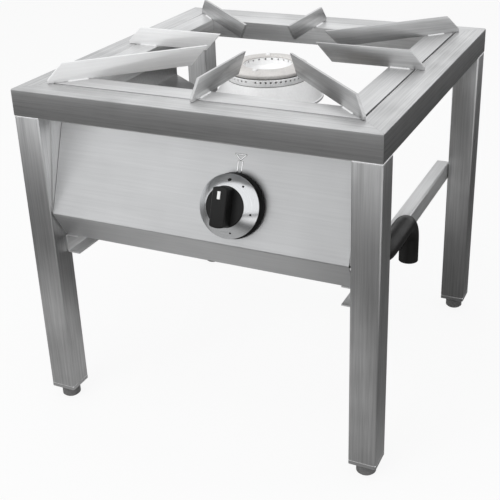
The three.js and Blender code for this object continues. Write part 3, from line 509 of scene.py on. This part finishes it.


# The beads are real, but their metal is coloured much lighter than the tube as a painted highlight.
weld_metal_painted_highlight = speckled("weld metal with painted highlight", 0.86, 0.96, 0.26, 0.4, 1500, 0.00003, metallic=0.8)
paths = []
for corner in CORNERS:
    low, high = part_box("leg_" + corner)
    a, b = low.x + BEAD_RADIUS, high.x - BEAD_RADIUS
    c, d = low.y + BEAD_RADIUS, high.y - BEAD_RADIUS
    for z in (high.z + BEAD_LIFT, low.z - BEAD_LIFT):
        for x1, y1, x2, y2 in ((a, c, b, c), (b, c, b, d), (b, d, a, d), (a, d, a, c)):
            paths.append((Vector((x1, y1, z)), Vector((x2, y2, z))))
beads("stand_beads", paths, BEAD_RADIUS, 3, "stand")

# ---------------------------------------------------------------- rails
# Two folded 1.5 mm channels between the front and rear legs, open towards the middle.
# They carry the panel's lip and the gas pipe, and tie the legs together low down.
SHEET = 1.5 * MM
FOLD = 1.2 * MM


def sheet_outline(line, thickness, fold):
    """The outline of a folded sheet that lies to the left of the line; fold is its inner radius."""
    at = [Vector(point) for point in line]
    runs = [(b - a).normalized() for a, b in zip(at, at[1:])]
    sides = [Vector((-run.y, run.x)) for run in runs]
    back, near, far = [], [], []
    for i, point in enumerate(at):
        before, after = sides[max(i - 1, 0)], sides[min(i, len(sides) - 1)]
        back.append(point + (before + after) / (1 + before.dot(after)) * thickness)
        if i in (0, len(at) - 1):
            near.append(0)
            far.append(0)
            continue
        left = runs[i - 1].x * runs[i].y - runs[i - 1].y * runs[i].x > 0
        near.append(fold + thickness if left else fold)
        far.append(fold if left else fold + thickness)
    return arc_corners([tuple(p) for p in at] + [tuple(p) for p in reversed(back)], near + far[::-1], 5)


rail_steel = brushed_steel("folded rail", 0.60, 0.76, 0.28, 0.42, metallic=0.7)
for side, name in ((-1, "rail_left"), (1, "rail_right")):
    low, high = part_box(name)
    inner, outer = min(abs(low.x), abs(high.x)), max(abs(low.x), abs(high.x))
    line = [(-inner, high.z), (-outer, high.z), (-outer, low.z), (-inner, low.z)]
    outline = sheet_outline(line, SHEET, FOLD)
    mesh = skin([[Vector((-side * a, y, b)) for a, b in outline] for y in (low.y, high.y)])
    piece(name + "_look", ease_edges(mesh, 0.2 * MM, 2, 60), "stand", rail_steel, "support_steel", name)

# ---------------------------------------------------------------- control panel
# One folded sheet that leans back 20 degrees, with a lip below it. Two cheeks close the
# gap to the legs. Above the knob a pointer is pressed out of the sheet: a hollow triangle
# over two short lines. Its ridge is coloured near white as a painted highlight, and a
# wider dark strip under it is painted shade. The sheet's colour carries painted light too,
# lighter at its left end and darker to the right.
PANEL_TILT = math.radians(20)
NOSE_DROP, TOP_FLANGE, LIP_RUN, LIP_HEM = 107.9 * MM, 32 * MM, 19 * MM, 8 * MM
KNOB_UP, TAP_BACK = 41 * MM, 34 * MM
MARK_WIDTH = 11.2 * MM
MARK_TOP, MARK_TIP, STEM_TOP, STEM_END = 91.6 * MM, 86 * MM, 84.6 * MM, 72 * MM
STEM_GAP = 4.6 * MM
MARK_LINE = 1.1 * MM
MARK_HEM = 0.3 * MM
RIDGE_HEIGHT, SHADE_STRIP_HEIGHT = 0.5 * MM, 0.12 * MM

low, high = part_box("control_panel")
nose = Vector((0, low.y, high.z - NOSE_DROP))
panel_top = high.z - SHEET
panel_back = nose.y + (panel_top - nose.z) * math.tan(PANEL_TILT)
line = [
    (panel_back - TOP_FLANGE, panel_top),
    (panel_back, panel_top),
    (nose.y, nose.z),
    (nose.y + LIP_RUN, low.z),
    (nose.y + LIP_RUN + LIP_HEM, low.z),
]


def panel_material():
    """Brushed sheet whose slight waves draw the reflections out into soft upright bands, and also vary its
    tone. Its colour carries painted light as well: lighter at the left end and darker to the right.
    """
    made = brushed_steel("panel sheet", 0.60, 0.68, 0.32, 0.40, depth=0.4, warm=-0.004)
    tree = made.node_tree
    shader = next(n for n in tree.nodes if n.type == "BSDF_PRINCIPLED")
    grain = next(n for n in tree.nodes if n.type == "GROUP")
    place = node(tree, "TexCoord")
    stretch = node(tree, "Mapping", {"Vector": place.outputs["Object"], "Scale": (15, 1.5, 2.2)})
    waves = node(tree, "TexNoise", {"Vector": stretch.outputs[0], "Scale": 1.0, "Detail": 1.5})
    swell = {"Height": waves.outputs[0], "Distance": 4 * MM, "Strength": 0.6}
    bump = node(tree, "Bump", {**swell, "Normal": grain.outputs["Normal"]})
    tree.links.new(bump.outputs[0], shader.inputs["Normal"])
    across = node(tree, "SeparateXYZ", {"Vector": place.outputs["Object"]})
    # Painted light: the colour is made lighter at the sheet's left end and darker towards the right.
    painted_light_across = fade(tree, across.outputs["X"], -0.12, 0.14, 1.0, 0.0)
    bands_and_painted_light = node(tree, "Math", {0: waves.outputs[0], 1: 0.5, 2: painted_light_across}, operation="MULTIPLY_ADD")
    lighter = ramp(tree, bands_and_painted_light.outputs[0], (0.2, grey(0.94)), (1.1, grey(1.22)))
    plain = shader.inputs["Base Color"].links[0].from_socket
    toned = node(tree, "VectorMath", {0: plain, 1: lighter}, operation="MULTIPLY")
    tree.links.new(toned.outputs[0], shader.inputs["Base Color"])
    return made


panel_steel = panel_material()
mesh = skin([[Vector((x, a, b)) for a, b in sheet_outline(line, SHEET, 1.6 * MM)] for x in (low.x, high.x)])
piece("panel_look", ease_edges(mesh, 0.2 * MM, 2, 60), "stand", panel_steel, "panel_steel", "control_panel")
cheek_steel = brushed_steel("cheek plate", 0.62, 0.76, 0.34, 0.46, along="z")
for name in ("cheek_left", "cheek_right"):
    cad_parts[name].material_slots[0].material = cheek_steel

tap_x = (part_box("knob_index")[0].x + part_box("knob_index")[1].x) / 2
ON_PANEL = Matrix.Translation((tap_x, nose.y, nose.z)) @ Matrix.Rotation(math.pi / 2 - PANEL_TILT, 4, "X")
half = MARK_WIDTH / 2
strokes = [
    ((-half, MARK_TOP), (half, MARK_TOP)),
    ((half, MARK_TOP), (0, MARK_TIP)),
    ((0, MARK_TIP), (-half, MARK_TOP)),
    ((-STEM_GAP / 2, STEM_TOP), (-STEM_GAP / 2, STEM_END)),
    ((STEM_GAP / 2, STEM_TOP), (STEM_GAP / 2, STEM_END)),
]
ridge_painted_highlight_steel = brushed_steel("ridge of the mark with painted highlight", 0.96, 0.99, 0.16, 0.24, along="x", depth=0.2)
hem_painted_shade_steel = brushed_steel("painted shade round the mark", 0.26, 0.36, 0.4, 0.5, along="x")
# The ridge's near-white steel is a painted highlight; the wider dark strip under it is painted shade.
for name, wide, tall, metal in (
    ("panel_mark_ridge", MARK_LINE, RIDGE_HEIGHT, ridge_painted_highlight_steel),
    ("panel_mark_painted_shade", MARK_LINE + 2 * MARK_HEM, SHADE_STRIP_HEIGHT, hem_painted_shade_steel),
):
    marks = bmesh.new()
    for start, end in strokes:
        start, end = Vector(start), Vector(end)
        run = end - start
        spot = (start + end) / 2
        bar = Matrix.Translation((spot.x, spot.y, 0)) @ Matrix.Rotation(math.atan2(run.y, run.x), 4, "Z")
        shape = Matrix.Diagonal((run.length + wide * 0.8, wide, tall, 1))
        bmesh.ops.create_cube(marks, size=1, matrix=ON_PANEL @ bar @ shape)
    ease_edges(marks, tall * 0.3)
    piece(name, marks, "stand", metal, "panel_steel")

# ---------------------------------------------------------------- burner support
# A folded 2 mm plate across the stand, waisted so that air reaches the burner.
# It is cut and bent from plain mill-finish sheet.
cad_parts["burner_support"].material_slots[0].material = brushed_steel(
    "mill sheet", 0.50, 0.66, 0.3, 0.46, along="x"
)

# ---------------------------------------------------------------- burner
# Three castings that lift off one another: a cone with its spigot, a crown drilled with two
# rows of gas ports, and a ring cap with two lugs to turn it by. The cone is pebbled from the
# sand, the crown is machined, and the cap is a little warmer in colour from the heat.
PORT_RADIUS = 1.15 * MM
OUTER_PORTS, INNER_PORTS, INNER_PORT_DROP = 52, 24, 1.8 * MM
CROWN_WALL, CROWN_HEIGHT, CROWN_SPIGOT = 3 * MM, 8 * MM, 3.6 * MM
THROAT_DEPTH, DISH_DEPTH = 8 * MM, 4 * MM
CAP_HEIGHT, CAP_SKIN, CAP_SPIGOT = 7 * MM, 2 * MM, 1.2 * MM
SPIGOT_BORE, SPIGOT_RADIUS, SPIGOT_LENGTH = 10 * MM, 12.7 * MM, 20 * MM
HUB_RADIUS, HUB_HEIGHT, POT_RADIUS, POT_FLANGE, POT_FLOOR = 24 * MM, 12.8 * MM, 62.5 * MM, 3 * MM, 5 * MM
CONE_RADIUS, MOUTH_RADIUS, MOUTH_DEPTH = 48 * MM, 44 * MM, 4.1 * MM
DISH_RADIUS, THROAT_RADIUS, SEAT_RADIUS = 22 * MM, 28.5 * MM, 43.7 * MM
CAP_HOLE, CAP_RADIUS, CAP_SLOPE, CAP_RIM = 28 * MM, 45.5 * MM, 6 * MM, 4 * MM
LUG_SIZE, LUG_RADIUS, LUG_TURNS = (5 * MM, 8 * MM, 3.2 * MM), 33.75 * MM, (24, 180)

cast_light = speckled("cast burner", 0.78, 0.92, 0.36, 0.55, 420, 0.00012, metallic=0.3)
machined_light = speckled("machined crown", 0.86, 0.94, 0.42, 0.55, 420, 0.00006, metallic=0.05)
cast_cap = speckled("cast cap", 0.54, 0.76, 0.45, 0.62, 520, 0.0003, metallic=0.25, warm=0.03)


def port_tree():
    """Drills an even ring of radial holes, and skips one place of it."""
    tree = bpy.data.node_groups.new("Ring of ports", "GeometryNodeTree")
    face = tree.interface
    face.new_socket("Blank", in_out="INPUT", socket_type="NodeSocketGeometry")
    face.new_socket("Count", in_out="INPUT", socket_type="NodeSocketInt")
    face.new_socket("Skip", in_out="INPUT", socket_type="NodeSocketInt")
    for name in ("Ring radius", "Port radius", "Depth", "Height", "Middle"):
        face.new_socket(name, in_out="INPUT", socket_type="NodeSocketFloat")
    face.new_socket("Material", in_out="INPUT", socket_type="NodeSocketMaterial")
    face.new_socket("Drilled", in_out="OUTPUT", socket_type="NodeSocketGeometry")
    start, end = tree.nodes.new("NodeGroupInput"), tree.nodes.new("NodeGroupOutput")
    circle = {"Vertices": start.outputs["Count"], "Radius": start.outputs["Ring radius"]}
    ring = geometry_node(tree, "GeometryNodeMeshCircle", circle)
    place = geometry_node(tree, "GeometryNodeInputPosition")
    outward = geometry_node(tree, "FunctionNodeAlignRotationToVector", {"Vector": place.outputs[0]}, axis="Z")
    drill = geometry_node(
        tree,
        "GeometryNodeMeshCylinder",
        {"Vertices": 14, "Radius": start.outputs["Port radius"], "Depth": start.outputs["Depth"]},
    )
    index = geometry_node(tree, "GeometryNodeInputIndex")
    kept = geometry_node(
        tree,
        "FunctionNodeCompare",
        {2: index.outputs[0], 3: start.outputs["Skip"]},
        data_type="INT",
        operation="NOT_EQUAL",
    )
    spread = geometry_node(
        tree,
        "GeometryNodeInstanceOnPoints",
        {
            "Points": ring.outputs[0],
            "Selection": kept.outputs[0],
            "Instance": drill.outputs[0],
            "Rotation": outward.outputs[0],
        },
    )
    real = geometry_node(tree, "GeometryNodeRealizeInstances", {"Geometry": spread.outputs[0]})
    offset = geometry_node(
        tree, "ShaderNodeCombineXYZ", {"Y": start.outputs["Middle"], "Z": start.outputs["Height"]}
    )
    lifted = geometry_node(
        tree, "GeometryNodeTransform", {"Geometry": real.outputs[0], "Translation": offset.outputs[0]}
    )
    cut = geometry_node(
        tree, "GeometryNodeMeshBoolean", {"Mesh 2": lifted.outputs[0]}, operation="DIFFERENCE", solver="EXACT"
    )
    tree.links.new(start.outputs["Blank"], cut.inputs["Mesh 1"])
    named = geometry_node(
        tree, "GeometryNodeSetMaterial", {"Geometry": cut.outputs[0], "Material": start.outputs["Material"]}
    )
    tree.links.new(named.outputs[0], end.inputs["Drilled"])
    return tree


low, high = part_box("burner_body")
axis = Vector((0, (low.y + high.y) / 2, 0))
UPRIGHT = Matrix.Translation(axis)
top, seat = high.z, low.z + SPIGOT_LENGTH
rim = seat + HUB_HEIGHT
body_profile = arc_corners(
    [
        (SPIGOT_BORE, low.z),
        (SPIGOT_RADIUS, low.z),
        (SPIGOT_RADIUS, seat),
        (HUB_RADIUS, seat),
        (HUB_RADIUS, rim),
        (POT_RADIUS, rim),
        (POT_RADIUS, rim + POT_FLANGE),
        (POT_RADIUS - 1.5 * MM, rim + POT_FLANGE),
        (CONE_RADIUS, top),
        (MOUTH_RADIUS, top),
        (MOUTH_RADIUS, top - MOUTH_DEPTH),
        (MOUTH_RADIUS + 2.3 * MM, top - MOUTH_DEPTH),
        (54.4 * MM, rim + POT_FLOOR),
        (SPIGOT_BORE, rim + POT_FLOOR),
    ],
    [0, 0, 0, 1 * MM, 2 * MM, 1 * MM, 1 * MM, 0.8 * MM, 0.9 * MM, 0.4 * MM, 0, 0, 1 * MM, 0],
    3,
)
body = lathe(body_profile, UPRIGHT, 96, closed=True)
piece("burner_body_look", body, "stand", cast_light, "burner_aluminium", "burner_body")

low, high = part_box("burner_crown")
seat = low.z + CROWN_SPIGOT
top = seat + CROWN_HEIGHT
inner_top = high.z
dish = inner_top - THROAT_DEPTH
outer = high.x
crown_profile = arc_corners(
    [
        (0, dish - DISH_DEPTH - 2 * MM),
        (DISH_RADIUS, dish - DISH_DEPTH - 2 * MM),
        (THROAT_RADIUS, low.z),
        (SEAT_RADIUS, low.z),
        (SEAT_RADIUS, seat),
        (outer, seat),
        (outer, top),
        (outer - CROWN_WALL, top),
        (outer - CROWN_WALL, seat + 2 * MM),
        (THROAT_RADIUS + CROWN_WALL, seat + 2 * MM),
        (THROAT_RADIUS + CROWN_WALL, inner_top),
        (THROAT_RADIUS, inner_top),
        (THROAT_RADIUS, dish),
        (DISH_RADIUS, dish - DISH_DEPTH),
        (0, dish - DISH_DEPTH - 1 * MM),
    ],
    [0, 0, 0, 0, 0, 0.9 * MM, 0.8 * MM, 0, 0, 0, 0, 0.5 * MM, 1 * MM, 3 * MM, 0],
    3,
    closed=False,
)
blank = lathe(crown_profile, UPRIGHT, 104)
data = bpy.data.meshes.new("burner_crown_look")
blank.to_mesh(data)
blank.free()
ports = port_tree()
outer_ports = (OUTER_PORTS, outer - CROWN_WALL / 2, (seat + 2 * MM + top) / 2)
inner_ports = (INNER_PORTS, THROAT_RADIUS + CROWN_WALL / 2, inner_top - INNER_PORT_DROP)
for count, radius, height in (outer_ports, inner_ports):
    values = {
        "Count": count,
        "Skip": 3 * OUTER_PORTS // 4 if count == OUTER_PORTS else -1,
        "Ring radius": radius,
        "Port radius": PORT_RADIUS,
        "Depth": CROWN_WALL + 2 * MM,
        "Height": height,
        "Middle": axis.y,
        "Material": machined_light,
    }
    crown = grown("burner_crown_look", data, ports, values)
    data = crown.data
    if count == OUTER_PORTS:
        bpy.data.objects.remove(crown)
data.shade_smooth()
data.set_sharp_from_angle(angle=math.radians(32))
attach(crown, "burner_crown")
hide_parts("burner_crown")

# Dark rings are painted shade in the seam under the crown and on the ledge round the cap.
painted_seam_shade = speckled("painted_seam_shade", 0.02, 0.05, 0.7, 0.85, 600, 0.00004)
for name, inside, outside, under, over in (
    ("crown_seam_painted_shade", outer - 0.9 * MM, outer - 0.2 * MM, seat + 0.02 * MM, seat + 0.5 * MM),
    ("crown_ledge_painted_shade", outer - 2.3 * MM, outer - 0.5 * MM, top - 0.05 * MM, top + 0.1 * MM),
):
    ring = [(inside, under), (outside, under), (outside, over), (inside, over)]
    piece(name, lathe(ring, UPRIGHT, 104, closed=True), "burner_crown", painted_seam_shade, "burner_aluminium")

low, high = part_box("burner_cap")
bottom = low.z + CAP_SPIGOT
top = bottom + CAP_HEIGHT
cap_profile = arc_corners(
    [
        (CAP_HOLE, top - CAP_SKIN),
        (37.5 * MM, top - CAP_SKIN),
        (41.5 * MM, bottom),
        (41.5 * MM, low.z),
        (SEAT_RADIUS, low.z),
        (SEAT_RADIUS, bottom),
        (CAP_RADIUS, bottom),
        (CAP_RADIUS, bottom + CAP_RIM),
        (CAP_RADIUS - CAP_SLOPE, top),
        (CAP_HOLE, top),
    ],
    [0.3 * MM, 1 * MM, 0, 0.3 * MM, 0.3 * MM, 0, 0.9 * MM, 1.6 * MM, 2 * MM, 0.7 * MM],
    4,
)
cap = lathe(cap_profile, UPRIGHT, 96, closed=True)
piece("burner_cap_look", cap, "burner_cap", cast_cap, "burner_aluminium", "burner_cap")
lugs = bmesh.new()
for turned in LUG_TURNS:
    place = UPRIGHT @ Matrix.Rotation(math.radians(turned), 4, "Z") @ Matrix.Translation((0, LUG_RADIUS, top))
    bmesh.ops.create_cube(lugs, size=1, matrix=place @ Matrix.Diagonal((*LUG_SIZE, 1)))
ease_edges(lugs, 1 * MM, 3)
piece("burner_cap_lugs", lugs, "burner_cap", cast_light, "burner_aluminium")

# ---------------------------------------------------------------- pan support
# A mitred ring of small angle iron that drops inside the top frame, with eight flat bars on
# edge welded across it. All of it lifts out in one piece. The bars are sheared, their outer
# ends cut at a slant and their inner ends undercut towards the burner. The front left and
# left bars get a lighter copy of the bar steel as a painted highlight.
IRON_WIDTH, IRON_DEPTH, IRON_WALL = 28 * MM, 22 * MM, 3 * MM
ARM_EDGE = 0.45 * MM
ARM_HALF, ARM_TOE, ARM_UNDERCUT = 1.5 * MM, 3.5 * MM, 19 * MM
SUPPORT_BEAD, BEAD_REACH = 1.3 * MM, 20 * MM

low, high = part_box("ring_front")
ring_section = arc_corners(
    [
        (0, -IRON_WALL),
        (IRON_WIDTH - IRON_WALL, -IRON_WALL),
        (IRON_WIDTH - IRON_WALL, -IRON_DEPTH),
        (IRON_WIDTH, -IRON_DEPTH),
        (IRON_WIDTH, 0),
        (0, 0),
    ],
    [0.4 * MM, 2.2 * MM, 0.4 * MM, 0.4 * MM, 0.9 * MM, 0.4 * MM],
    3,
)
support_steel = brushed_steel("angle iron", 0.58, 0.84, 0.34, 0.48)
mitred_square(
    ("ring_front", "ring_right", "ring_back", "ring_left"),
    ring_section,
    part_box("ring_right")[1].x,
    high.z,
    "pan_support",
    support_steel,
    "support_steel",
)

arm_steel = brushed_steel("flat bar", 0.44, 0.76, 0.34, 0.52, depth=1.2)
painted_glare_steel = brushed_steel("flat bar with painted glare", 0.84, 0.98, 0.42, 0.56, depth=1.2, metallic=0.45)
ring_low, ring_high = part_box("ring_front")[0].y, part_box("ring_front")[1].y
paths = []
# Each bar's heading in degrees, and how far its outer and inner ends lie from the middle in mm.
ARMS = {
    "arm_front_left": (-135, 244.66, 70),
    "arm_front": (-90, 180, 58),
    "arm_front_right": (-45, 244.66, 70),
    "arm_right": (0, 180, 58),
    "arm_rear_right": (45, 244.66, 70),
    "arm_rear": (90, 180, 58),
    "arm_rear_left": (135, 244.66, 70),
    "arm_left": (180, 180, 58),
}
for name, (heading, reach, tip) in ARMS.items():
    low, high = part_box(name)
    height = high.z - low.z
    reach, tip = reach * MM, tip * MM
    shoulder = (reach - height + ARM_TOE, height)
    side = [(tip + ARM_UNDERCUT, 0), (reach, 0), (reach, ARM_TOE), shoulder, (tip, height)]
    place = Matrix.Translation((0, axis.y, low.z)) @ Matrix.Rotation(math.radians(heading), 4, "Z")
    rings = [[place @ Vector((a, y, b)) for a, b in side] for y in (-ARM_HALF, ARM_HALF)]
    mesh = bmesh.new()
    layer = mesh.loops.layers.uv.new("grain")
    rows = [[mesh.verts.new(point) for point in ring] for ring in rings]
    count = len(side)
    mesh.faces.new(rows[0])
    mesh.faces.new(rows[1])
    for k in range(count):
        mesh.faces.new((rows[0][k], rows[1][k], rows[1][(k + 1) % count], rows[0][(k + 1) % count]))
    bmesh.ops.recalc_face_normals(mesh, faces=mesh.faces)
    ease_edges(mesh, ARM_EDGE, 2, 20)
    back = place.inverted()
    for face in mesh.faces:
        for corner in face.loops:
            at = back @ corner.vert.co
            corner[layer].uv = (at.x + heading * 0.01, at.z + at.y)
    # Painted highlight: these two bars take a lighter copy of the same steel.
    metal = painted_glare_steel if name in ("arm_front_left", "arm_left") else arm_steel
    piece(name + "_look", mesh, "pan_support", metal, "support_steel", name)
    stretch = 1 / max(abs(math.cos(math.radians(heading))), abs(math.sin(math.radians(heading))))
    near, far = (axis.y - ring_high + 3 * MM) * stretch, (axis.y - ring_low - 4 * MM) * stretch
    for y in (-1.9 * MM, 1.9 * MM):
        ends = (near, min(far, near + BEAD_REACH))
        paths.append(tuple(place @ Vector((x, y, -0.1 * MM)) for x in ends))
beads("support_beads", paths, SUPPORT_BEAD, 8, "pan_support")

# ---------------------------------------------------------------- gas tap
# A turned and milled brass tap behind the panel, held to the sheet by a nut on its neck.
# Its plug turns with the knob, and the spindle can be pressed in for lighting.
DARK_BRASS, LIGHT_BRASS = (0.42, 0.29, 0.12, 1), (0.62, 0.46, 0.2, 1)
brass = speckled("tap brass", DARK_BRASS, LIGHT_BRASS, 0.26, 0.42, 700, 0.00003, metallic=1.0)
for name in ("tap_body", "tap_plug", "tap_end_cap", "tap_nut", "tap_spindle", "injector"):
    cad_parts[name].material_slots[0].material = brass

# ---------------------------------------------------------------- knob
# A black phenolic skirt with a bright conical bezel ring, and a black disc in it that
# carries a high bar grip. A white index is inlaid at the upper end of the bar, and dots on
# the bezel mark off, lighting, full and low flame.
SKIRT_RADIUS, SHOULDER_RADIUS, BEZEL_RADIUS = 33 * MM, 31.9 * MM, 20.3 * MM
KNOB_FOOT, SHOULDER, CROWN = 3.5 * MM, 14.2 * MM, 24 * MM
BEZEL_LIFT, BEZEL_WALL = 0.3 * MM, 0.7 * MM
GRIP_GAP, GRIP_BACK, GRIP_DISC, GRIP_FRONT, GRIP_WIDTH = 0.3 * MM, 22.3 * MM, 25.2 * MM, 40 * MM, 15.4 * MM
DOTS = ((0, 1.9 * MM), (35, 1.1 * MM), (100, 1.1 * MM), (165, 1.1 * MM))  # turn in degrees, radius

KNOB = ON_PANEL @ Matrix.Translation((0, KNOB_UP, 0))
phenolic = speckled("black phenolic", 0.004, 0.009, 0.3, 0.45, 1200, 0.00001, specular=0.3)
matt_phenolic = speckled("matt phenolic", 0.003, 0.007, 0.55, 0.7, 1200, 0.00001, specular=0.08)
skirt = arc_corners(
    [
        (7 * MM, 9 * MM),
        (7 * MM, 20 * MM),
        (BEZEL_RADIUS, 20 * MM),
        (29.9 * MM, 13.2 * MM),
        (31 * MM, KNOB_FOOT),
        (SKIRT_RADIUS, KNOB_FOOT),
        (SHOULDER_RADIUS, SHOULDER),
        (BEZEL_RADIUS, CROWN),
        (BEZEL_RADIUS, 22 * MM),
        (3.3 * MM, 22 * MM),
        (3.3 * MM, 9 * MM),
    ],
    [0, 0, 0, 0, 0.4 * MM, 0.6 * MM, 0, 0, 0, 0, 0],
    3,
)
mesh = lathe(skirt, KNOB, 96, closed=True)
piece("knob_skirt_look", mesh, "knob", matt_phenolic, "knob_black", "knob_skirt")

chrome = bpy.data.materials.new("bezel chrome")
tree = empty_tree(chrome)
place = node(tree, "TexCoord")
spin = node(tree, "Mapping", {"Vector": place.outputs["UV"], "Scale": (60, 4200, 1)})
lines = node(tree, "TexNoise", {"Vector": spin.outputs[0], "Scale": 1.0, "Detail": 2.0})
wear = fade(tree, lines.outputs[0], 0.3, 0.7, 0.15, 0.26)
colour = ramp(tree, lines.outputs[0], (0.3, (0.68, 0.69, 0.70, 1)), (0.7, (0.88, 0.89, 0.90, 1)))
bump = node(tree, "Bump", {"Height": lines.outputs[0], "Distance": 0.000004, "Strength": 0.5})
coat = {"Base Color": colour, "Roughness": wear, "Normal": bump.outputs[0]}
shader = node(tree, "BsdfPrincipled", {**coat, "Metallic": 1.0})
node(tree, "OutputMaterial", {"Surface": shader.outputs[0]})
bezel = arc_corners(
    [
        (BEZEL_RADIUS, CROWN + BEZEL_LIFT),
        (SHOULDER_RADIUS, SHOULDER + BEZEL_LIFT),
        (SHOULDER_RADIUS, SHOULDER + BEZEL_LIFT + BEZEL_WALL),
        (BEZEL_RADIUS, CROWN + BEZEL_LIFT + BEZEL_WALL),
    ],
    [0.1 * MM, 0.1 * MM, 0.5 * MM, 0.5 * MM],
    4,
)
mesh = lathe(bezel, KNOB, 128, closed=True)
piece("knob_bezel_look", mesh, "knob", chrome, "bezel_chrome", "knob_bezel")

dots = bmesh.new()
fall = math.atan2(CROWN - SHOULDER, SHOULDER_RADIUS - BEZEL_RADIUS)
middle = (BEZEL_RADIUS + SHOULDER_RADIUS) / 2
face = (CROWN + SHOULDER) / 2 + BEZEL_LIFT + BEZEL_WALL + 0.02 * MM
for clockwise, size in DOTS:
    spot = Matrix.Rotation(-math.radians(clockwise), 4, "Z") @ Matrix.Translation((0, middle, face))
    flat = KNOB @ spot @ Matrix.Rotation(-fall, 4, "X")
    shape = {"segments": 20, "radius1": size, "radius2": size, "depth": 0.1 * MM}
    bmesh.ops.create_cone(dots, cap_ends=True, matrix=flat, **shape)
piece("bezel_dots", dots, "knob", phenolic, "knob_black")

grip_radius = BEZEL_RADIUS - GRIP_GAP
line = [(0, GRIP_BACK), (grip_radius, GRIP_BACK), (grip_radius, GRIP_DISC), (0, GRIP_DISC)]
disc = arc_corners(line, [0, 0, 0.8 * MM, 0], 4, closed=False)
piece("knob_disc_look", lathe(disc, KNOB, 96), "knob", phenolic, "knob_black", "knob_grip")
half = GRIP_WIDTH / 2
reach = math.sqrt(grip_radius**2 - half**2)
plan = []
for sign in (1, -1):
    for k in range(9):
        x = sign * half * (1 - 2 * k / 8)
        plan.append((x, sign * math.sqrt(grip_radius**2 - x * x)))
mesh = skin([[KNOB @ Vector((x, y, z)) for x, y in plan] for z in (GRIP_DISC - 1 * MM, GRIP_FRONT)])
ease_edges(mesh, 1.6 * MM, 4, 50)
piece("knob_bar_look", mesh, "knob", phenolic, "knob_black", sharp=45)

index_white = speckled("index paint", 0.72, 0.82, 0.4, 0.55, 900, 0.00001)
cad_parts["knob_index"].material_slots[0].material = index_white

# ---------------------------------------------------------------- gas supply pipe
# Half-inch steel pipe painted black. It comes down from the tap, crosses behind the panel,
# leaves past the right front leg and turns down outside the rail, where it is cut square.
# A small saddle welded to the rail carries it.
PIPE_RADIUS, PIPE_WALL, PIPE_TAIL = 10.65 * MM, 2.6 * MM, 51 * MM
PIPE_BENDS = [0, 18 * MM, 34 * MM, 39 * MM, 0]


def tube_along(path, radius, wall, sides=40):
    """A hollow pipe along a line of points."""
    runs = [(path[min(k + 1, len(path) - 1)] - path[max(k - 1, 0)]).normalized() for k in range(len(path))]
    side = runs[0].orthogonal().normalized()
    outer, inner = [], []
    for point, run in zip(path, runs):
        side = (side - run * side.dot(run)).normalized()
        other = run.cross(side)
        spokes = [
            side * math.cos(2 * math.pi * k / sides) + other * math.sin(2 * math.pi * k / sides)
            for k in range(sides)
        ]
        outer.append([point + spoke * radius for spoke in spokes])
        inner.append([point + spoke * (radius - wall) for spoke in spokes])
    return skin(outer + inner[::-1], loop=True)


tap_centre = ON_PANEL @ Vector((0, KNOB_UP, -TAP_BACK))
low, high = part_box("supply_pipe")
pipe_z = low.z + PIPE_TAIL
pipe_x = high.x - PIPE_RADIUS
drop_y = high.y - PIPE_RADIUS
route = [
    (tap_centre.x, tap_centre.y, high.z),
    (tap_centre.x, tap_centre.y, pipe_z),
    (pipe_x, tap_centre.y, pipe_z),
    (pipe_x, drop_y, pipe_z),
    (pipe_x, drop_y, low.z),
]
black_paint = speckled("black paint", 0.005, 0.012, 0.32, 0.5, 500, 0.00006, warm=0.06, specular=0.3)
mesh = tube_along(arc_corners(route, PIPE_BENDS, 12, closed=False), PIPE_RADIUS, PIPE_WALL)
piece("supply_pipe_look", mesh, "stand", black_paint, "pipe_black", "supply_pipe")
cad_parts["supply_pipe_saddle"].material_slots[0].material = plate_steel

# ---------------------------------------------------------------- injector line
# A bent aluminium mixing tube under the burner, a sheet sleeve with two air windows, the
# brass jet in its end, and a thin copper-alloy pipe back to the tap.
MIXER_RADIUS, MIXER_WALL, MIXER_BEND = 15 * MM, 2 * MM, 28 * MM
FEED_RADIUS, FEED_WALL, FEED_BEND = 4 * MM, 1 * MM, 18 * MM

low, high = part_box("mixing_tube")
route = [(0, axis.y, high.z), (0, axis.y, tap_centre.z), (0, low.y, tap_centre.z)]
mesh = tube_along(arc_corners(route, [0, MIXER_BEND, 0], 12, closed=False), MIXER_RADIUS, MIXER_WALL)
piece("mixing_tube_look", mesh, "stand", cast_light, "burner_aluminium", "mixing_tube")
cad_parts["air_shutter"].material_slots[0].material = plate_steel
low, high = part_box("feed_pipe")
route = [(high.x, tap_centre.y, tap_centre.z), (0, tap_centre.y, tap_centre.z), (0, high.y, tap_centre.z)]
mesh = tube_along(arc_corners(route, [0, FEED_BEND, 0], 10, closed=False), FEED_RADIUS, FEED_WALL, 20)
piece("feed_pipe_look", mesh, "stand", brass, "brass", "feed_pipe")
